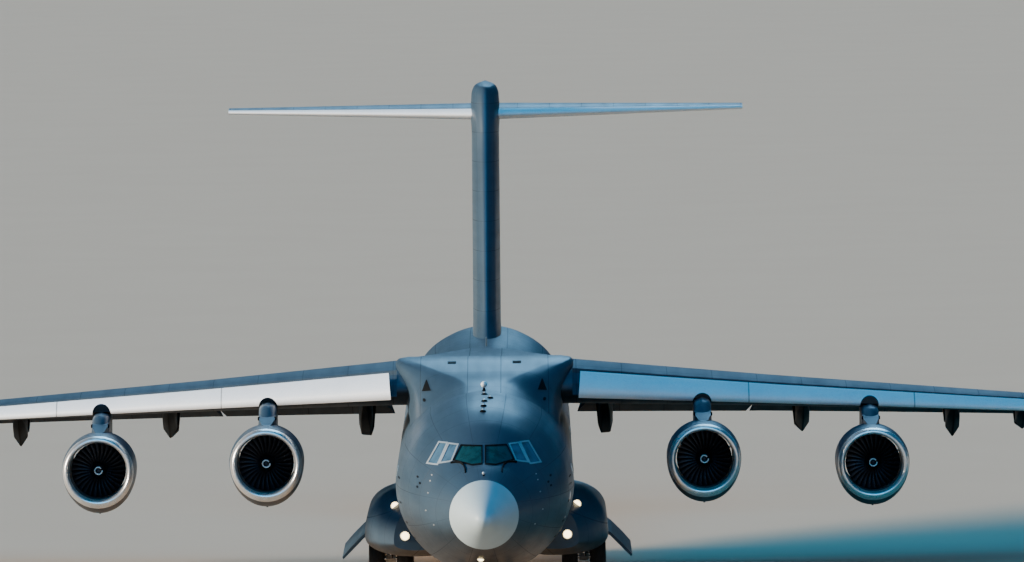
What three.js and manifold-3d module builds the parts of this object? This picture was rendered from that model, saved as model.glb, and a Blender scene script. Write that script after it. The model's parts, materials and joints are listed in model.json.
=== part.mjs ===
// A half-scale model of a four-engine military transport plane, standing on its landing gear.
// Sizes are written in metres of the full-size aircraft: x to its left side, d back from the nose tip, z up
// from the ground. The model is built in millimetres, nose towards -Y, origin on the ground at its centre.
import * as THREE from "three";
import { mergeVertices } from "three/addons/utils/BufferGeometryUtils.js";
import Module from "manifold-3d";

const wasm = await Module();
wasm.setup();

const MM = 500; // millimetres of the model for each metre of the aircraft
const LENGTH = 47;
const GAP = 0.0008; // between pieces that touch
const PLAY = 0.02; // between pieces that move

// Fuselage, wing and tail
const SKIN = 0.22;
const FLOOR_Z = 2.3;
const HOLD = { front: 9.0, back: 41.2, ceiling: 6.5, wingCeiling: 5.45, wingFront: 12.6, wingBack: 25.8 };
const FLIGHT_DECK = { front: 2.6, back: 8.5, floor: 4.5, top: 6.45 };
const ENTRY = { front: 5.7, top: 4.28 };
const RAMP = { front: 29.5, hingeZ: 1.38, back: 35.5, half: 1.75, tipDepth: 0.6, lean: 0.3 };
const AFT_DOOR = { back: 40.8, half: 1.45, hingeZ: 5.17 };
const CREW_DOOR = { front: 6.3, back: 7.25, bottom: 2.35, top: 4.15, hingeX: 2.04 };
const SCREEN = { front: 2.7, back: 4.72, depth: 0.07 };
const SLAT = { root: 2.79, tip: 23.2, upper: 0.085, lower: 0.006, turn: 12 };
const SLAT_PIVOT = { from: 2.98, u: 0.09, v: -0.2 };
const FLAP = { nose: 0.732, lip: 0.8, pivotV: -0.175, rest: 20 };
const FIN = { rudderBottom: 7.45, rudderTop: 13.1, hinge: 0.7 };
const TAILPLANE_Z = 14.0;

// Landing gear
const NOSE_GEAR = { d: 6.5, tyre: 0.49, width: 0.42, track: 0.41, wellRoof: 2.05 };
const MAIN_GEAR = { x: 3.1, rows: [21.0, 22.75, 24.5], tyre: 0.65, width: 0.5, track: 0.45 };
const WELL = { inner: 2.3, outer: 3.7, front: 20.05, back: 25.45, roof: 2.12 };
const AXLE = 0.06;
const AXLE_SIDES = 8;

const sin = (degrees) => Math.sin((degrees * Math.PI) / 180);
const cos = (degrees) => Math.cos((degrees * Math.PI) / 180);
const at = (x, d, z) => new THREE.Vector3(x * MM, (d - LENGTH / 2) * MM, z * MM);

// A manifold solid from a three.js geometry, turned outside in where its faces point inwards.
function solidOf(geometry) {
  const bare = geometry.clone();
  for (const name of Object.keys(bare.attributes)) {
    if (name !== "position") bare.deleteAttribute(name);
  }
  const merged = mergeVertices(bare, 1e-3);
  const triVerts = new Uint32Array(merged.index.array);
  const make = () =>
    new wasm.Manifold(
      new wasm.Mesh({ numProp: 3, vertProperties: merged.attributes.position.array, triVerts }),
    );
  const made = make();
  if (made.volume() > 0) return made;
  for (let i = 0; i < triVerts.length; i += 3) {
    [triVerts[i + 1], triVerts[i + 2]] = [triVerts[i + 2], triVerts[i + 1]];
  }
  return make();
}

function geometryOf(solid) {
  const mesh = solid.getMesh();
  const geometry = new THREE.BufferGeometry();
  geometry.setAttribute("position", new THREE.BufferAttribute(new Float32Array(mesh.vertProperties), 3));
  geometry.setIndex(new THREE.BufferAttribute(new Uint32Array(mesh.triVerts), 1));
  return geometry;
}

// A closed skin through rings of the same number of points, flat at both ends.
function loft(rings) {
  const count = rings[0].length;
  const points = rings.flat();
  const faces = [];
  for (let k = 0; k + 1 < rings.length; k++) {
    for (let i = 0; i < count; i++) {
      const a = k * count + i;
      const b = k * count + ((i + 1) % count);
      faces.push(a, b, b + count, a, b + count, a + count);
    }
  }
  const last = (rings.length - 1) * count;
  for (let left = 0, right = count - 1; left + 1 < right; left++, right--) {
    faces.push(left, right, left + 1, last + left, last + left + 1, last + right);
    if (left + 2 < right) {
      faces.push(left + 1, right, right - 1, last + left + 1, last + right - 1, last + right);
    }
  }
  const geometry = new THREE.BufferGeometry().setFromPoints(points);
  geometry.setIndex(faces);
  return solidOf(geometry);
}

function box(x0, x1, d0, d1, z0, z1) {
  const low = at(x0, d0, z0);
  const high = at(x1, d1, z1);
  const size = high.clone().sub(low);
  const middle = low.add(high).multiplyScalar(0.5);
  return solidOf(new THREE.BoxGeometry(size.x, size.y, size.z).translate(middle.x, middle.y, middle.z));
}

// A solid of revolution about a line along Y. Its profile rows are [distance behind d, radius].
function turned(profile, x, d, z, segments) {
  const outline = profile.map(([along, radius]) => new THREE.Vector2(radius * MM, along * MM));
  const middle = at(x, d, z);
  return solidOf(new THREE.LatheGeometry(outline, segments).translate(middle.x, middle.y, middle.z));
}

// A round bar between two points.
function bar(from, to, radius, segments = 12) {
  const length = from.distanceTo(to);
  const geometry = new THREE.CylinderGeometry(radius * MM, radius * MM, length, segments);
  const turn = new THREE.Quaternion().setFromUnitVectors(
    new THREE.Vector3(0, 1, 0),
    to.clone().sub(from).normalize(),
  );
  geometry.applyQuaternion(turn);
  const middle = from.clone().add(to).multiplyScalar(0.5);
  return solidOf(geometry.translate(middle.x, middle.y, middle.z));
}

// A bore for a bar of that radius, its flats over the bar's corners.
function bore(from, to, radius, play, segments = 12) {
  const wide = (radius + play) / cos(180 / segments);
  const axis = to.clone().sub(from).normalize();
  const step = new THREE.Quaternion().setFromAxisAngle(axis, Math.PI / segments);
  const middle = from.clone().add(to).multiplyScalar(0.5);
  const turn = new THREE.Matrix4()
    .makeTranslation(middle.x, middle.y, middle.z)
    .multiply(new THREE.Matrix4().makeRotationFromQuaternion(step))
    .multiply(new THREE.Matrix4().makeTranslation(-middle.x, -middle.y, -middle.z));
  return bar(from, to, wide, segments).transform(turn.elements);
}

// A hinge on a line through a point: the moving lug with its pin, the fixed cheeks, and the room each needs.
const KNUCKLE = { lug: 0.05, cheek: 0.06, room: 0.008 };
function knuckle(point, axis, radius, pin) {
  const on = (share) => point.clone().addScaledVector(axis, share * MM);
  const along = (from, to, r) => bar(on(from), on(to), r, 8);
  const outer = KNUCKLE.lug + KNUCKLE.room + KNUCKLE.cheek;
  const inner = KNUCKLE.lug + KNUCKLE.room;
  const room = (radius + KNUCKLE.room) / cos(180 / 8);
  return {
    lug: along(-KNUCKLE.lug, KNUCKLE.lug, radius).add(along(-outer, outer, pin)),
    cheeks: along(-outer, -inner, radius).add(along(inner, outer, radius)),
    lugRoom: along(-inner, inner, room),
    cheekRoom: along(-outer - KNUCKLE.room, -KNUCKLE.lug, room).add(
      along(KNUCKLE.lug, outer + KNUCKLE.room, room),
    ),
    bore: bore(on(-0.4), on(0.4), pin, GAP, 8),
  };
}

// An outline of [d, z] points, as thick as x0 to x1.
function sideways(outline, x0, x1) {
  return loft([x0, x1].map((x) => outline.map(([d, z]) => at(x, d, z))));
}

// An outline of [x, z] points, as long as d0 to d1.
function lengthways(outline, d0, d1) {
  return loft([d0, d1].map((d) => outline.map(([x, z]) => at(x, d, z))));
}

const joined = (solids) => solids.reduce((whole, piece) => whole.add(piece));
const without = (solid, cutters) => cutters.reduce((rest, cutter) => rest.subtract(cutter), solid);
const largest = (solid) => solid.decompose().sort((a, b) => b.volume() - a.volume())[0];

// A rounded section with four quarters: exponent 2 is an ellipse, more is squarer.
function oval(count, exponent, place) {
  return Array.from({ length: count }, (_, i) => {
    const angle = ((i + 0.5) / count) * 360;
    const round = (value) => Math.sign(value) * Math.abs(value) ** (2 / exponent);
    return place(round(sin(angle)), round(cos(angle)));
  });
}

// Fuselage sections, from the radome joint to the tail: d, top, bottom, half width
const FUSELAGE = [
  [1.5, 4.705, 2.615, 1.045],
  [2.2, 4.98, 2.38, 1.36],
  [3.0, 5.24, 2.17, 1.72],
  [3.8, 5.75, 1.96, 2.02],
  [4.8, 6.22, 1.72, 2.3],
  [6.5, 6.62, 1.44, 2.6],
  [9.0, 6.8, 1.3, 2.75],
  [29.0, 6.8, 1.3, 2.75],
  [32.0, 6.82, 1.78, 2.74],
  [35.5, 6.85, 2.76, 2.62],
  [38.5, 6.85, 3.72, 2.38],
  [41.5, 6.78, 4.72, 1.8],
  [44.2, 6.62, 5.6, 1.0],
  [46.0, 6.4, 6.05, 0.3],
];
const fuselageRings = (grow) =>
  FUSELAGE.map(([d, top, bottom, half]) =>
    oval(32, 2, (across, up) =>
      at(
        across * (half + grow),
        d,
        (top + bottom) / 2 + up * ((top - bottom) / 2 + grow),
      ),
    ),
  );
const outerBody = loft(fuselageRings(0));
const clearOfBody = loft(fuselageRings(GAP));
const innerBody = loft(fuselageRings(-SKIN));

// Wing-body fairing sections: d, top, bottom, half width, share of its own form in a round one
const FAIRING = [
  [9.4, 6.79, 6.3, 2.5, 0],
  [11.4, 6.98, 5.9, 2.55, 0],
  [13.3, 7.24, 5.4, 2.6, 0.5],
  [15.8, 7.44, 5.2, 2.8, 1],
  [21.6, 7.05, 5.2, 2.78, 1],
  [25.8, 6.94, 5.6, 2.4, 0.6],
  [29.5, 6.88, 6.3, 2.6, 0],
];
const FAIRING_ROUND_MIDDLE = 4.05;
// From the top's middle to the bottom's: share of the half width, share of the half height,
// degrees around the round form
const FAIRING_SHAPE = [
  [0.86, 1, 12],
  [0.97, 0.95, 24],
  [1, 0.84, 34],
  [0.985, 0.66, 43],
  [0.93, 0.42, 51],
  [0.885, 0.1, 58],
  [0.87, -0.4, 68],
  [0.6, -1, 85],
];
function fairingRing([d, top, bottom, half, own]) {
  const wall = FAIRING_SHAPE.map(([across, up, degrees]) => {
    const turn = THREE.MathUtils.degToRad(degrees);
    const square = [across * half, (top + bottom + up * (top - bottom)) / 2];
    const round = [
      Math.sin(turn) * half,
      FAIRING_ROUND_MIDDLE + Math.cos(turn) * (top - FAIRING_ROUND_MIDDLE),
    ];
    return [0, 1].map((k) => THREE.MathUtils.lerp(round[k], square[k], own));
  });
  return [
    ...wall.map(([x, z]) => at(x, d, z)),
    ...wall.toReversed().map(([x, z]) => at(-x, d, z)),
  ];
}

// Wing stations: x, leading edge d, leading edge z, chord, thickness share, tilt in degrees
const WING = [
  [0.0003, 14.5, 6.57, 9.7, 0.142, 3],
  [2.75, 14.5, 6.57, 9.7, 0.142, 3],
  [9.0, 17.62, 6.02, 7.28, 0.13, 2.4],
  [24.0, 25.1, 4.7, 2.6, 0.11, 1],
];
// Tailplane stations in the same columns
const TAILPLANE = [
  [0.05, 41.2, TAILPLANE_Z, 4.75, 0.11, 0],
  [8.86, 45.1, TAILPLANE_Z, 1.9, 0.1, 0],
];

function station(table, x) {
  let k = 0;
  while (k + 2 < table.length && x > table[k + 1][0]) k++;
  const share = (x - table[k][0]) / (table[k + 1][0] - table[k][0]);
  const [, edge, z, chord, thick, tilt] = table[k].map((v, i) => v + share * (table[k + 1][i] - v));
  return { x, edge, z, chord, thick, tilt };
}

// The point at a share u of the chord behind the leading edge and v of it above the chord line.
function onChord(s, side, u, v) {
  const along = s.chord * (u * cos(s.tilt) + v * sin(s.tilt));
  return at(side * s.x, s.edge + along, s.z + s.chord * (v * cos(s.tilt) - u * sin(s.tilt)));
}

const halfThickness = (u, thick) =>
  5 * thick * (0.2969 * Math.sqrt(u) - 0.126 * u - 0.3516 * u ** 2 + 0.2843 * u ** 3 - 0.1015 * u ** 4);
const camber = (u) => 0.07 * u * (1 - u);
const upper = (u, s) => camber(u) + halfThickness(u, s.thick);
const lower = (u, s) => camber(u) - halfThickness(u, s.thick);

const CHORD_STEPS = [1, 0.86, 0.72, 0.55, 0.38, 0.24, 0.12, 0.045, 0.012];
function aerofoil(s, side, grow) {
  const lift = grow / s.chord;
  return [
    ...CHORD_STEPS.map((u) => onChord(s, side, u + (u === 1 ? lift : 0), upper(u, s) + lift)),
    onChord(s, side, -lift, 0),
    ...CHORD_STEPS.toReversed().map((u) => onChord(s, side, u + (u === 1 ? lift : 0), lower(u, s) - lift)),
  ];
}
const wingSolid = (side, grow) => {
  const rings = WING.map((row) => aerofoil(station(WING, row[0]), side, grow));
  if (grow > 0) rings[0].forEach((point) => (point.x = 0));
  return loft(rings);
};

// A bar through all stations of a table, cut to a span. Its section is a list of [u, v] points at a station.
function spanwise(table, side, [from, to], section) {
  const rings = table.map(([x]) => {
    const s = station(table, x);
    return section(s).map(([u, v]) => onChord(s, side, u, v));
  });
  return loft(rings)
    .trimByPlane([side, 0, 0], from * MM)
    .trimByPlane([-side, 0, 0], -to * MM);
}

const colours = {
  grey: [0x5c6d7a, 0.45, 0.1],
  radome: [0x8f9ba3, 0.5, 0.05],
  bare: [0xb9bec2, 0.25, 0.9],
  dark: [0x23272b, 0.5, 0.3],
  tyre: [0x17181a, 0.85, 0],
  glass: [0x1c2a30, 0.08, 0.1],
  white: [0xd9dcdc, 0.4, 0.1],
  steel: [0x878d92, 0.35, 0.8],
};
const model = new THREE.Group();
function add(name, colour, solid) {
  const [color, roughness, metalness] = colours[colour];
  const mesh = new THREE.Mesh(
    geometryOf(solid),
    new THREE.MeshStandardMaterial({ color, roughness, metalness }),
  );
  mesh.name = name;
  model.add(mesh);
}

const sides = [
  ["right", -1],
  ["left", 1],
];
const mirrored = (outline, side) => outline.map(([x, z]) => [side * x, z]);

// Wings with the beds of their slats, flaps and ailerons
const INBOARD_FLAP = [3.6, 8.93];
const OUTBOARD_FLAP = [9.14, 18.2];
const AILERON = { from: 18.44, to: 22.9, hinge: 0.76 };
// Flap track fairings: x, depth below the wing of the fixed front and of the tail on the flap, keel
const TRACKS = [
  [3.85, 1.3, 1.3, 0.65],
  [10.2, 1.12, 1.12, 0.1],
  [15.1, 1.12, 0.78, 0.1],
  [17.4, 0.8, 0.8, 0.1],
];
const TRACK_HALF = 0.23;
const SLAT_TRACKS = [4.6, 9.6, 15.5, 21.5];
const HINGE_PIN = { radius: 0.025, reach: 0.07, elevatorReach: 0.42, rudderReach: 0.22 };

// Sections in shares of the chord
const slatSection = (s) => [
  [SLAT.upper, upper(SLAT.upper, s)],
  [0.045, upper(0.045, s)],
  [0.012, upper(0.012, s)],
  [0, 0],
  [SLAT.lower, lower(SLAT.lower, s)],
  [0.017, lower(SLAT.lower, s) * 0.4],
  [0.026, upper(0.026, s) * 0.45],
  [0.05, upper(0.05, s) - 0.012],
  [SLAT.upper, upper(SLAT.upper, s) - 0.004],
];
const slatBed = (s) => [
  [SLAT.upper + 0.006, 0.2],
  [SLAT.upper + 0.006, upper(SLAT.upper, s) - 0.013],
  [0.05, upper(0.05, s) - 0.024],
  [0.036, upper(0.036, s) * 0.3],
  [0.029, lower(0.029, s) * 0.4],
  [0.02, lower(0.02, s) * 0.9],
  [0.012, -0.2],
  [-0.2, -0.2],
  [-0.2, 0.2],
];
const flapSection = (s) => [
  [1, upper(1, s)],
  [0.9, upper(0.9, s)],
  [FLAP.lip + 0.012, upper(FLAP.lip + 0.012, s)],
  [FLAP.lip + 0.006, upper(FLAP.lip, s) - 0.014],
  [FLAP.lip - 0.02, upper(FLAP.lip - 0.02, s) - 0.018],
  [FLAP.nose + 0.012, upper(FLAP.nose, s) - 0.028],
  [FLAP.nose, (upper(FLAP.nose, s) - 0.028 + lower(FLAP.nose, s)) / 2],
  [FLAP.nose + 0.01, lower(FLAP.nose + 0.01, s)],
  [0.86, lower(0.86, s)],
  [1, lower(1, s)],
];
const flapBed = (s) => [
  [FLAP.lip, 0.2],
  [FLAP.lip, upper(FLAP.lip, s) - 0.005],
  [FLAP.nose - 0.007, upper(FLAP.nose, s) - 0.017],
  [FLAP.nose - 0.007, -0.2],
  [1.1, -0.2],
  [1.1, 0.2],
];
// A surface that turns about its own round nose
const surfaceSection = (hinge) => (s) => {
  const half = (upper(hinge, s) - lower(hinge, s)) / 2;
  const middle = (upper(hinge, s) + lower(hinge, s)) / 2;
  return [
    [1, upper(1, s)],
    [hinge, upper(hinge, s)],
    [hinge - half * 0.7, middle + half * 0.7],
    [hinge - half, middle],
    [hinge - half * 0.7, middle - half * 0.7],
    [hinge, lower(hinge, s)],
    [1, lower(1, s)],
  ];
};
const surfaceBed = (hinge) => (s) => {
  const front = hinge - (upper(hinge, s) - lower(hinge, s)) / 2 - PLAY / s.chord;
  return [
    [front, 0.07],
    [front, -0.07],
    [1.1, -0.07],
    [1.1, 0.07],
  ];
};

// The pivots of slats and flaps, on a straight line between two stations
function pivot(kind, x) {
  const reference = 9.7 - 0.334 * (x - 2.75);
  const s = { ...station(WING, x), chord: reference };
  if (kind === "slat") return onChord(s, 1, SLAT_PIVOT.u, SLAT_PIVOT.v);
  const t = station(WING, x);
  return onChord(t, 1, FLAP.nose, FLAP.pivotV);
}
// The part of a bar between planes square to its hinge line at its two pivots
function squared(solid, [from, to], side, inner, outer) {
  const a = pivot("flap", from);
  const b = pivot("flap", to);
  const axis = b.clone().sub(a).normalize();
  const near = axis.dot(a) - inner * MM;
  const far = axis.dot(b) + outer * MM;
  return solid
    .trimByPlane([side * axis.x, axis.y, axis.z], near)
    .trimByPlane([-side * axis.x, -axis.y, -axis.z], -far);
}
const between = (kind, [from, to], x) => {
  const a = pivot(kind, from);
  return a.lerp(pivot(kind, to), (x - from) / (to - from));
};
const flip = (point, side) => point.clone().setX(point.x * side);

// A slat's runner: a bar along an arc about the slat's hinge line, through the wing's nose when shut
function runner(side, x, play, fromAngle, toAngle) {
  const centre = between("slat", [SLAT_PIVOT.from, SLAT.tip], x);
  const axis = pivot("slat", SLAT.tip).sub(pivot("slat", SLAT_PIVOT.from)).normalize();
  const s = station(WING, x);
  const out = onChord(s, 1, 0.03, 0).sub(centre);
  out.addScaledVector(axis, -out.dot(axis));
  const radius = out.length();
  out.normalize();
  const tall = (0.004 * s.chord + play) * MM;
  const wide = (0.05 + play) * MM;
  const rings = [];
  for (let angle = fromAngle; angle <= toAngle; angle += 3) {
    const ray = out.clone().applyAxisAngle(axis, (-angle * Math.PI) / 180);
    const corner = (across, up) =>
      flip(centre.clone().addScaledVector(axis, across).addScaledVector(ray, radius + up), side);
    rings.push([corner(-wide, -tall), corner(wide, -tall), corner(wide, tall), corner(-wide, tall)]);
  }
  return loft(rings);
}

// A flap's pivot below a track fairing
function flapKnuckle(side, span, x) {
  const axis = pivot("flap", span[1]).sub(pivot("flap", span[0])).normalize();
  return knuckle(flip(between("flap", span, x), side), flip(axis, side), 0.15, 0.045);
}

// Pins on the hinge line at both ends of a control surface, and their bores
function endPins(from, to, length) {
  const axis = to.clone().sub(from).normalize();
  const reach = (point, share) => point.clone().addScaledVector(axis, share * length * MM);
  return {
    pins: bar(reach(from, -1), reach(from, 1), HINGE_PIN.radius, 8).add(
      bar(reach(to, -1), reach(to, 1), HINGE_PIN.radius, 8),
    ),
    bores: bore(reach(from, -1.2), reach(to, 1.2), HINGE_PIN.radius, GAP, 8),
  };
}
function turnedAbout(solid, from, to, side, degrees) {
  const a = from.clone();
  const b = to.clone();
  a.x *= side;
  b.x *= side;
  const axis = b.clone().sub(a).normalize();
  const turn = new THREE.Matrix4()
    .makeTranslation(a.x, a.y, a.z)
    .multiply(new THREE.Matrix4().makeRotationAxis(axis, (degrees * Math.PI) / 180))
    .multiply(new THREE.Matrix4().makeTranslation(-a.x, -a.y, -a.z));
  return solid.transform(turn.elements);
}

// A track fairing's section hanging under the wing, flat at its sides, its keel as wide as a share of it
function hanging(x, d, top, bottom, half, keel) {
  const shape = [
    [0.35, 1],
    [1, 0.6],
    [1, -0.5],
    [keel, -1],
  ];
  const wall = shape.map(([across, up]) => [
    across * half,
    (top + bottom) / 2 + (up * (top - bottom)) / 2,
  ]);
  return [
    ...wall.map(([wide, z]) => at(x + wide, d, z)),
    ...wall.toReversed().map(([wide, z]) => at(x - wide, d, z)),
  ];
}
function trackFront(side, x, depth, keel) {
  const s = station(WING, x);
  const under = (u) => onChord(s, 1, u, lower(u, s)).z / MM;
  const along = (u) => s.edge + u * s.chord;
  return loft([
    hanging(side * x, along(0.4), under(0.4) + 0.2, under(0.4) - 0.02, TRACK_HALF * 0.3, keel),
    hanging(side * x, along(0.55), under(0.55) + 0.25, under(0.55) - depth * 0.55, TRACK_HALF * 0.9, keel),
    hanging(side * x, along(FLAP.nose) - 0.05, under(0.72) + 0.1, under(0.72) - depth, TRACK_HALF, keel),
  ]);
}
function trackTail(side, x, depth, keel) {
  const s = station(WING, x);
  const under = (u) => onChord(s, 1, u, lower(u, s)).z / MM;
  const start = s.edge + FLAP.nose * s.chord + 0.02;
  const middle = start + s.chord * 0.16;
  const end = start + s.chord * 0.34;
  return loft([
    hanging(side * x, start, under(0.74) + 0.06, under(0.74) - depth * 0.98, TRACK_HALF, keel),
    hanging(side * x, middle, under(0.88) + 0.05, under(0.88) - depth * 0.72, TRACK_HALF * 0.85, keel),
    hanging(side * x, end, under(1) - depth * 0.2, under(1) - depth * 0.34, TRACK_HALF * 0.2, keel),
  ]);
}

const tracksOn = ([from, to]) => TRACKS.filter(([x]) => x > from && x < to);
const wingRight = wingSolid(-1, GAP);
const wingLeft = wingSolid(1, GAP);
const clearOfWings = wingRight.add(wingLeft);

for (const [hand, side] of sides) {
  const tracks = TRACKS.map(([x, depth, , keel]) => trackFront(side, x, depth, keel));
  const beds = [
    spanwise(WING, side, [SLAT.root - 0.03, SLAT.tip + 0.12], slatBed),
    squared(spanwise(WING, side, [2.8, 9.5], flapBed), INBOARD_FLAP, side, PLAY, 0.3),
    squared(spanwise(WING, side, [8, 18.6], flapBed), OUTBOARD_FLAP, side, 0.3, PLAY),
    spanwise(WING, side, [AILERON.from - 0.06, AILERON.to + 0.04], surfaceBed(AILERON.hinge)),
  ];
  const aileronLine = [AILERON.from, AILERON.to].map((x) => {
    const s = station(WING, x);
    return flip(onChord(s, 1, AILERON.hinge, camber(AILERON.hinge)), side);
  });
  const aileronHinge = endPins(...aileronLine, HINGE_PIN.reach);
  const spans = { inboard: INBOARD_FLAP, outboard: OUTBOARD_FLAP };
  const hinges = Object.values(spans).flatMap((span) =>
    tracksOn(span).map(([x]) => flapKnuckle(side, span, x)),
  );
  const fixed = joined([without(wingSolid(side, 0), beds), ...tracks]);
  const roomy = without(fixed, hinges.map((hinge) => hinge.lugRoom));
  const seated = joined([roomy, ...hinges.map((hinge) => hinge.cheeks)]);
  const openings = [
    ...hinges.map((hinge) => hinge.bore),
    ...SLAT_TRACKS.map((x) => runner(side, x, GAP, -3, 24)),
    aileronHinge.bores,
  ];
  add(`wing_${hand}`, "grey", largest(without(seated, openings)));

  const slat = joined([
    spanwise(WING, side, [SLAT.root, SLAT.tip], slatSection),
    ...SLAT_TRACKS.map((x) => runner(side, x, 0, -6, 21)),
  ]);
  const slatTurn = side * SLAT.turn;
  add(
    `slat_${hand}`,
    "bare",
    turnedAbout(slat, pivot("slat", SLAT_PIVOT.from), pivot("slat", SLAT.tip), side, slatTurn),
  );

  for (const [name, [from, to]] of Object.entries(spans)) {
    const flapHinges = tracksOn([from, to]).map(([x]) => flapKnuckle(side, [from, to], x));
    const tails = tracksOn([from, to]).map(([x, , depth, keel], i) => {
      const s = station(WING, x);
      const foot = onChord(s, side, FLAP.nose, FLAP.pivotV);
      const head = at(side * x, s.edge + FLAP.nose * s.chord + 0.3, foot.z / MM + 0.3);
      const tail = trackTail(side, x, depth, keel).add(bar(foot, head, 0.049, 6));
      return tail.subtract(flapHinges[i].cheekRoom);
    });
    const panel = spanwise(WING, side, [from - 0.8, to + 0.3], flapSection);
    const flap = joined([squared(panel, [from, to], side, 0, 0), ...tails]);
    const down = turnedAbout(flap, pivot("flap", from), pivot("flap", to), side, -side * FLAP.rest);
    add(`${name}_flap_${hand}`, "grey", joined([down, ...flapHinges.map((hinge) => hinge.lug)]));
  }
  add(
    `aileron_${hand}`,
    "grey",
    spanwise(WING, side, [AILERON.from, AILERON.to], surfaceSection(AILERON.hinge)).add(aileronHinge.pins),
  );
}

// Fin and rudder: sections by height: z, leading edge d, trailing edge d, half thickness
const FIN_SECTIONS = [
  [6.3, 32.6, 44.2, 0.5],
  [7.2, 34.5, 44.4, 0.47],
  [13.4, 40.0, 45.65, 0.47],
  [14.0, 40.4, 45.9, 0.5],
  [14.65, 40.9, 46.0, 0.46],
  [15.0, 41.7, 45.8, 0.2],
];
const FIN_SHAPE = [
  [0.02, 0.3],
  [0.08, 0.68],
  [0.22, 0.96],
  [0.42, 1],
  [0.7, 0.74],
  [1, 0.05],
];
function finRing([z, front, back, half], grow) {
  const chord = back - front;
  const wall = FIN_SHAPE.map(([u, w]) => [front + u * chord + (u === 1 ? grow : 0), w * half + grow]);
  return [
    at(0, front - grow, z),
    ...wall.map(([d, x]) => at(x, d, z)),
    ...wall.toReversed().map(([d, x]) => at(-x, d, z)),
  ];
}
const finAt = (z) => {
  const k = FIN_SECTIONS.findIndex((row, i) => z <= FIN_SECTIONS[i + 1]?.[0]);
  const [low, high] = [FIN_SECTIONS[k], FIN_SECTIONS[k + 1]];
  const share = (z - low[0]) / (high[0] - low[0]);
  return low.map((v, i) => v + share * (high[i] - v));
};
const finSolid = (grow) => loft(FIN_SECTIONS.map((row) => finRing(row, grow)));
const rudderHinge = (z) => {
  const [, front, back] = finAt(z);
  return front + (back - front) * FIN.hinge;
};
function rudderRing(z) {
  const [, , back, half] = finAt(z);
  const hinge = rudderHinge(z);
  const nose = 0.74 * half - 0.02;
  return [
    at(0, hinge - nose, z),
    at(nose * 0.7, hinge - nose * 0.7, z),
    at(nose, hinge, z),
    at(0.03, back, z),
    at(-0.03, back, z),
    at(-nose, hinge, z),
    at(-nose * 0.7, hinge - nose * 0.7, z),
  ];
}
function rudderBed(z) {
  const front = rudderHinge(z) - 0.74 * finAt(z)[3] - PLAY;
  return [at(-1, front, z), at(1, front, z), at(1, 48, z), at(-1, 48, z)];
}
const rudderEnds = [FIN.rudderBottom, FIN.rudderTop].map((z) => at(0, rudderHinge(z), z));
const rudderHinges = endPins(...rudderEnds, HINGE_PIN.rudderReach);
const ELEVATOR = { from: 0.62, to: 8.2, hinge: 0.72 };
const elevatorHinges = sides.map(([, side]) => {
  const line = [ELEVATOR.from, ELEVATOR.to].map((x) =>
    flip(onChord(station(TAILPLANE, x), 1, ELEVATOR.hinge, camber(ELEVATOR.hinge)), side),
  );
  return endPins(...line, HINGE_PIN.elevatorReach);
});
add(
  "fin",
  "grey",
  largest(
    without(finSolid(0), [
      clearOfBody,
      rudderHinges.bores,
      ...elevatorHinges.map((hinge) => hinge.bores),
      loft([rudderBed(FIN.rudderBottom - 0.1), rudderBed(FIN.rudderTop + 0.13)]),
    ]),
  ),
);
const rudder = loft([rudderRing(FIN.rudderBottom), rudderRing(FIN.rudderTop)]);
add("rudder", "grey", rudder.add(rudderHinges.pins));

const clearOfFin = finSolid(GAP);
for (const [hand, side] of sides) {
  const hinges = elevatorHinges[side > 0 ? 1 : 0];
  const rings = TAILPLANE.map(([x]) => aerofoil(station(TAILPLANE, x), side, 0));
  const bed = spanwise(
    TAILPLANE,
    side,
    [ELEVATOR.from - 0.5, ELEVATOR.to + 0.03],
    surfaceBed(ELEVATOR.hinge),
  );
  add(`tailplane_${hand}`, "grey", largest(without(loft(rings), [bed, clearOfFin, hinges.bores])));
  add(
    `elevator_${hand}`,
    "grey",
    spanwise(TAILPLANE, side, [ELEVATOR.from, ELEVATOR.to], surfaceSection(ELEVATOR.hinge)).add(hinges.pins),
  );
}

// Engines: number, x, intake d, axis z
const ENGINES = [
  [1, 12.23, 15.5, 3.97],
  [2, 6.85, 12.5, 4.37],
  [3, -6.85, 12.5, 4.37],
  [4, -12.23, 15.5, 3.97],
];
const COWL_SEGMENTS = 20;
const CORE_SEGMENTS = 14;
const FAN = { blades: 10, hub: 0.26, root: 0.2, tip: 0.86, at: 0.96, chord: 0.25, thick: 0.02, pitch: 40 };
// The cowl's outside: distance behind the intake, radius, how much lower its belly hangs
const COWL_OUTSIDE = [
  [0.0, 1.0, 0],
  [0.07, 1.06, 0.01],
  [0.35, 1.12, 0.06],
  [1.3, 1.17, 0.23],
  [2.2, 1.16, 0.23],
  [3.0, 1.09, 0.12],
  [3.7, 1.0, 0],
];
const DUCT = [
  [-0.02, 0],
  [-0.02, 1.012],
  [0, 0.995],
  [0.07, 0.94],
  [0.35, 0.9],
  [2.6, 0.9],
  [3.7, 0.97],
  [3.72, 0.97],
  [3.72, 0],
];
function cowlOutside(x, d, z, grow) {
  return loft(
    COWL_OUTSIDE.map(([along, radius, belly]) =>
      Array.from({ length: COWL_SEGMENTS }, (_, i) => {
        const angle = (i / COWL_SEGMENTS) * 360;
        const reach = radius + grow + (cos(angle) > 0 ? -0.2 : 1) * belly;
        const back = d + along + (along > 3 ? grow : 0);
        return at(x + sin(angle) * (radius + grow), back, z + cos(angle) * reach);
      }),
    ),
  );
}
const CORE = [
  [1.12, 0],
  [1.12, 0.25],
  [1.6, 0.34],
  [2.6, 0.56],
  [3.6, 0.6],
  [4.5, 0.45],
  [4.52, 0.32],
  [5.4, 0.02],
  [5.4, 0],
];
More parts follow.
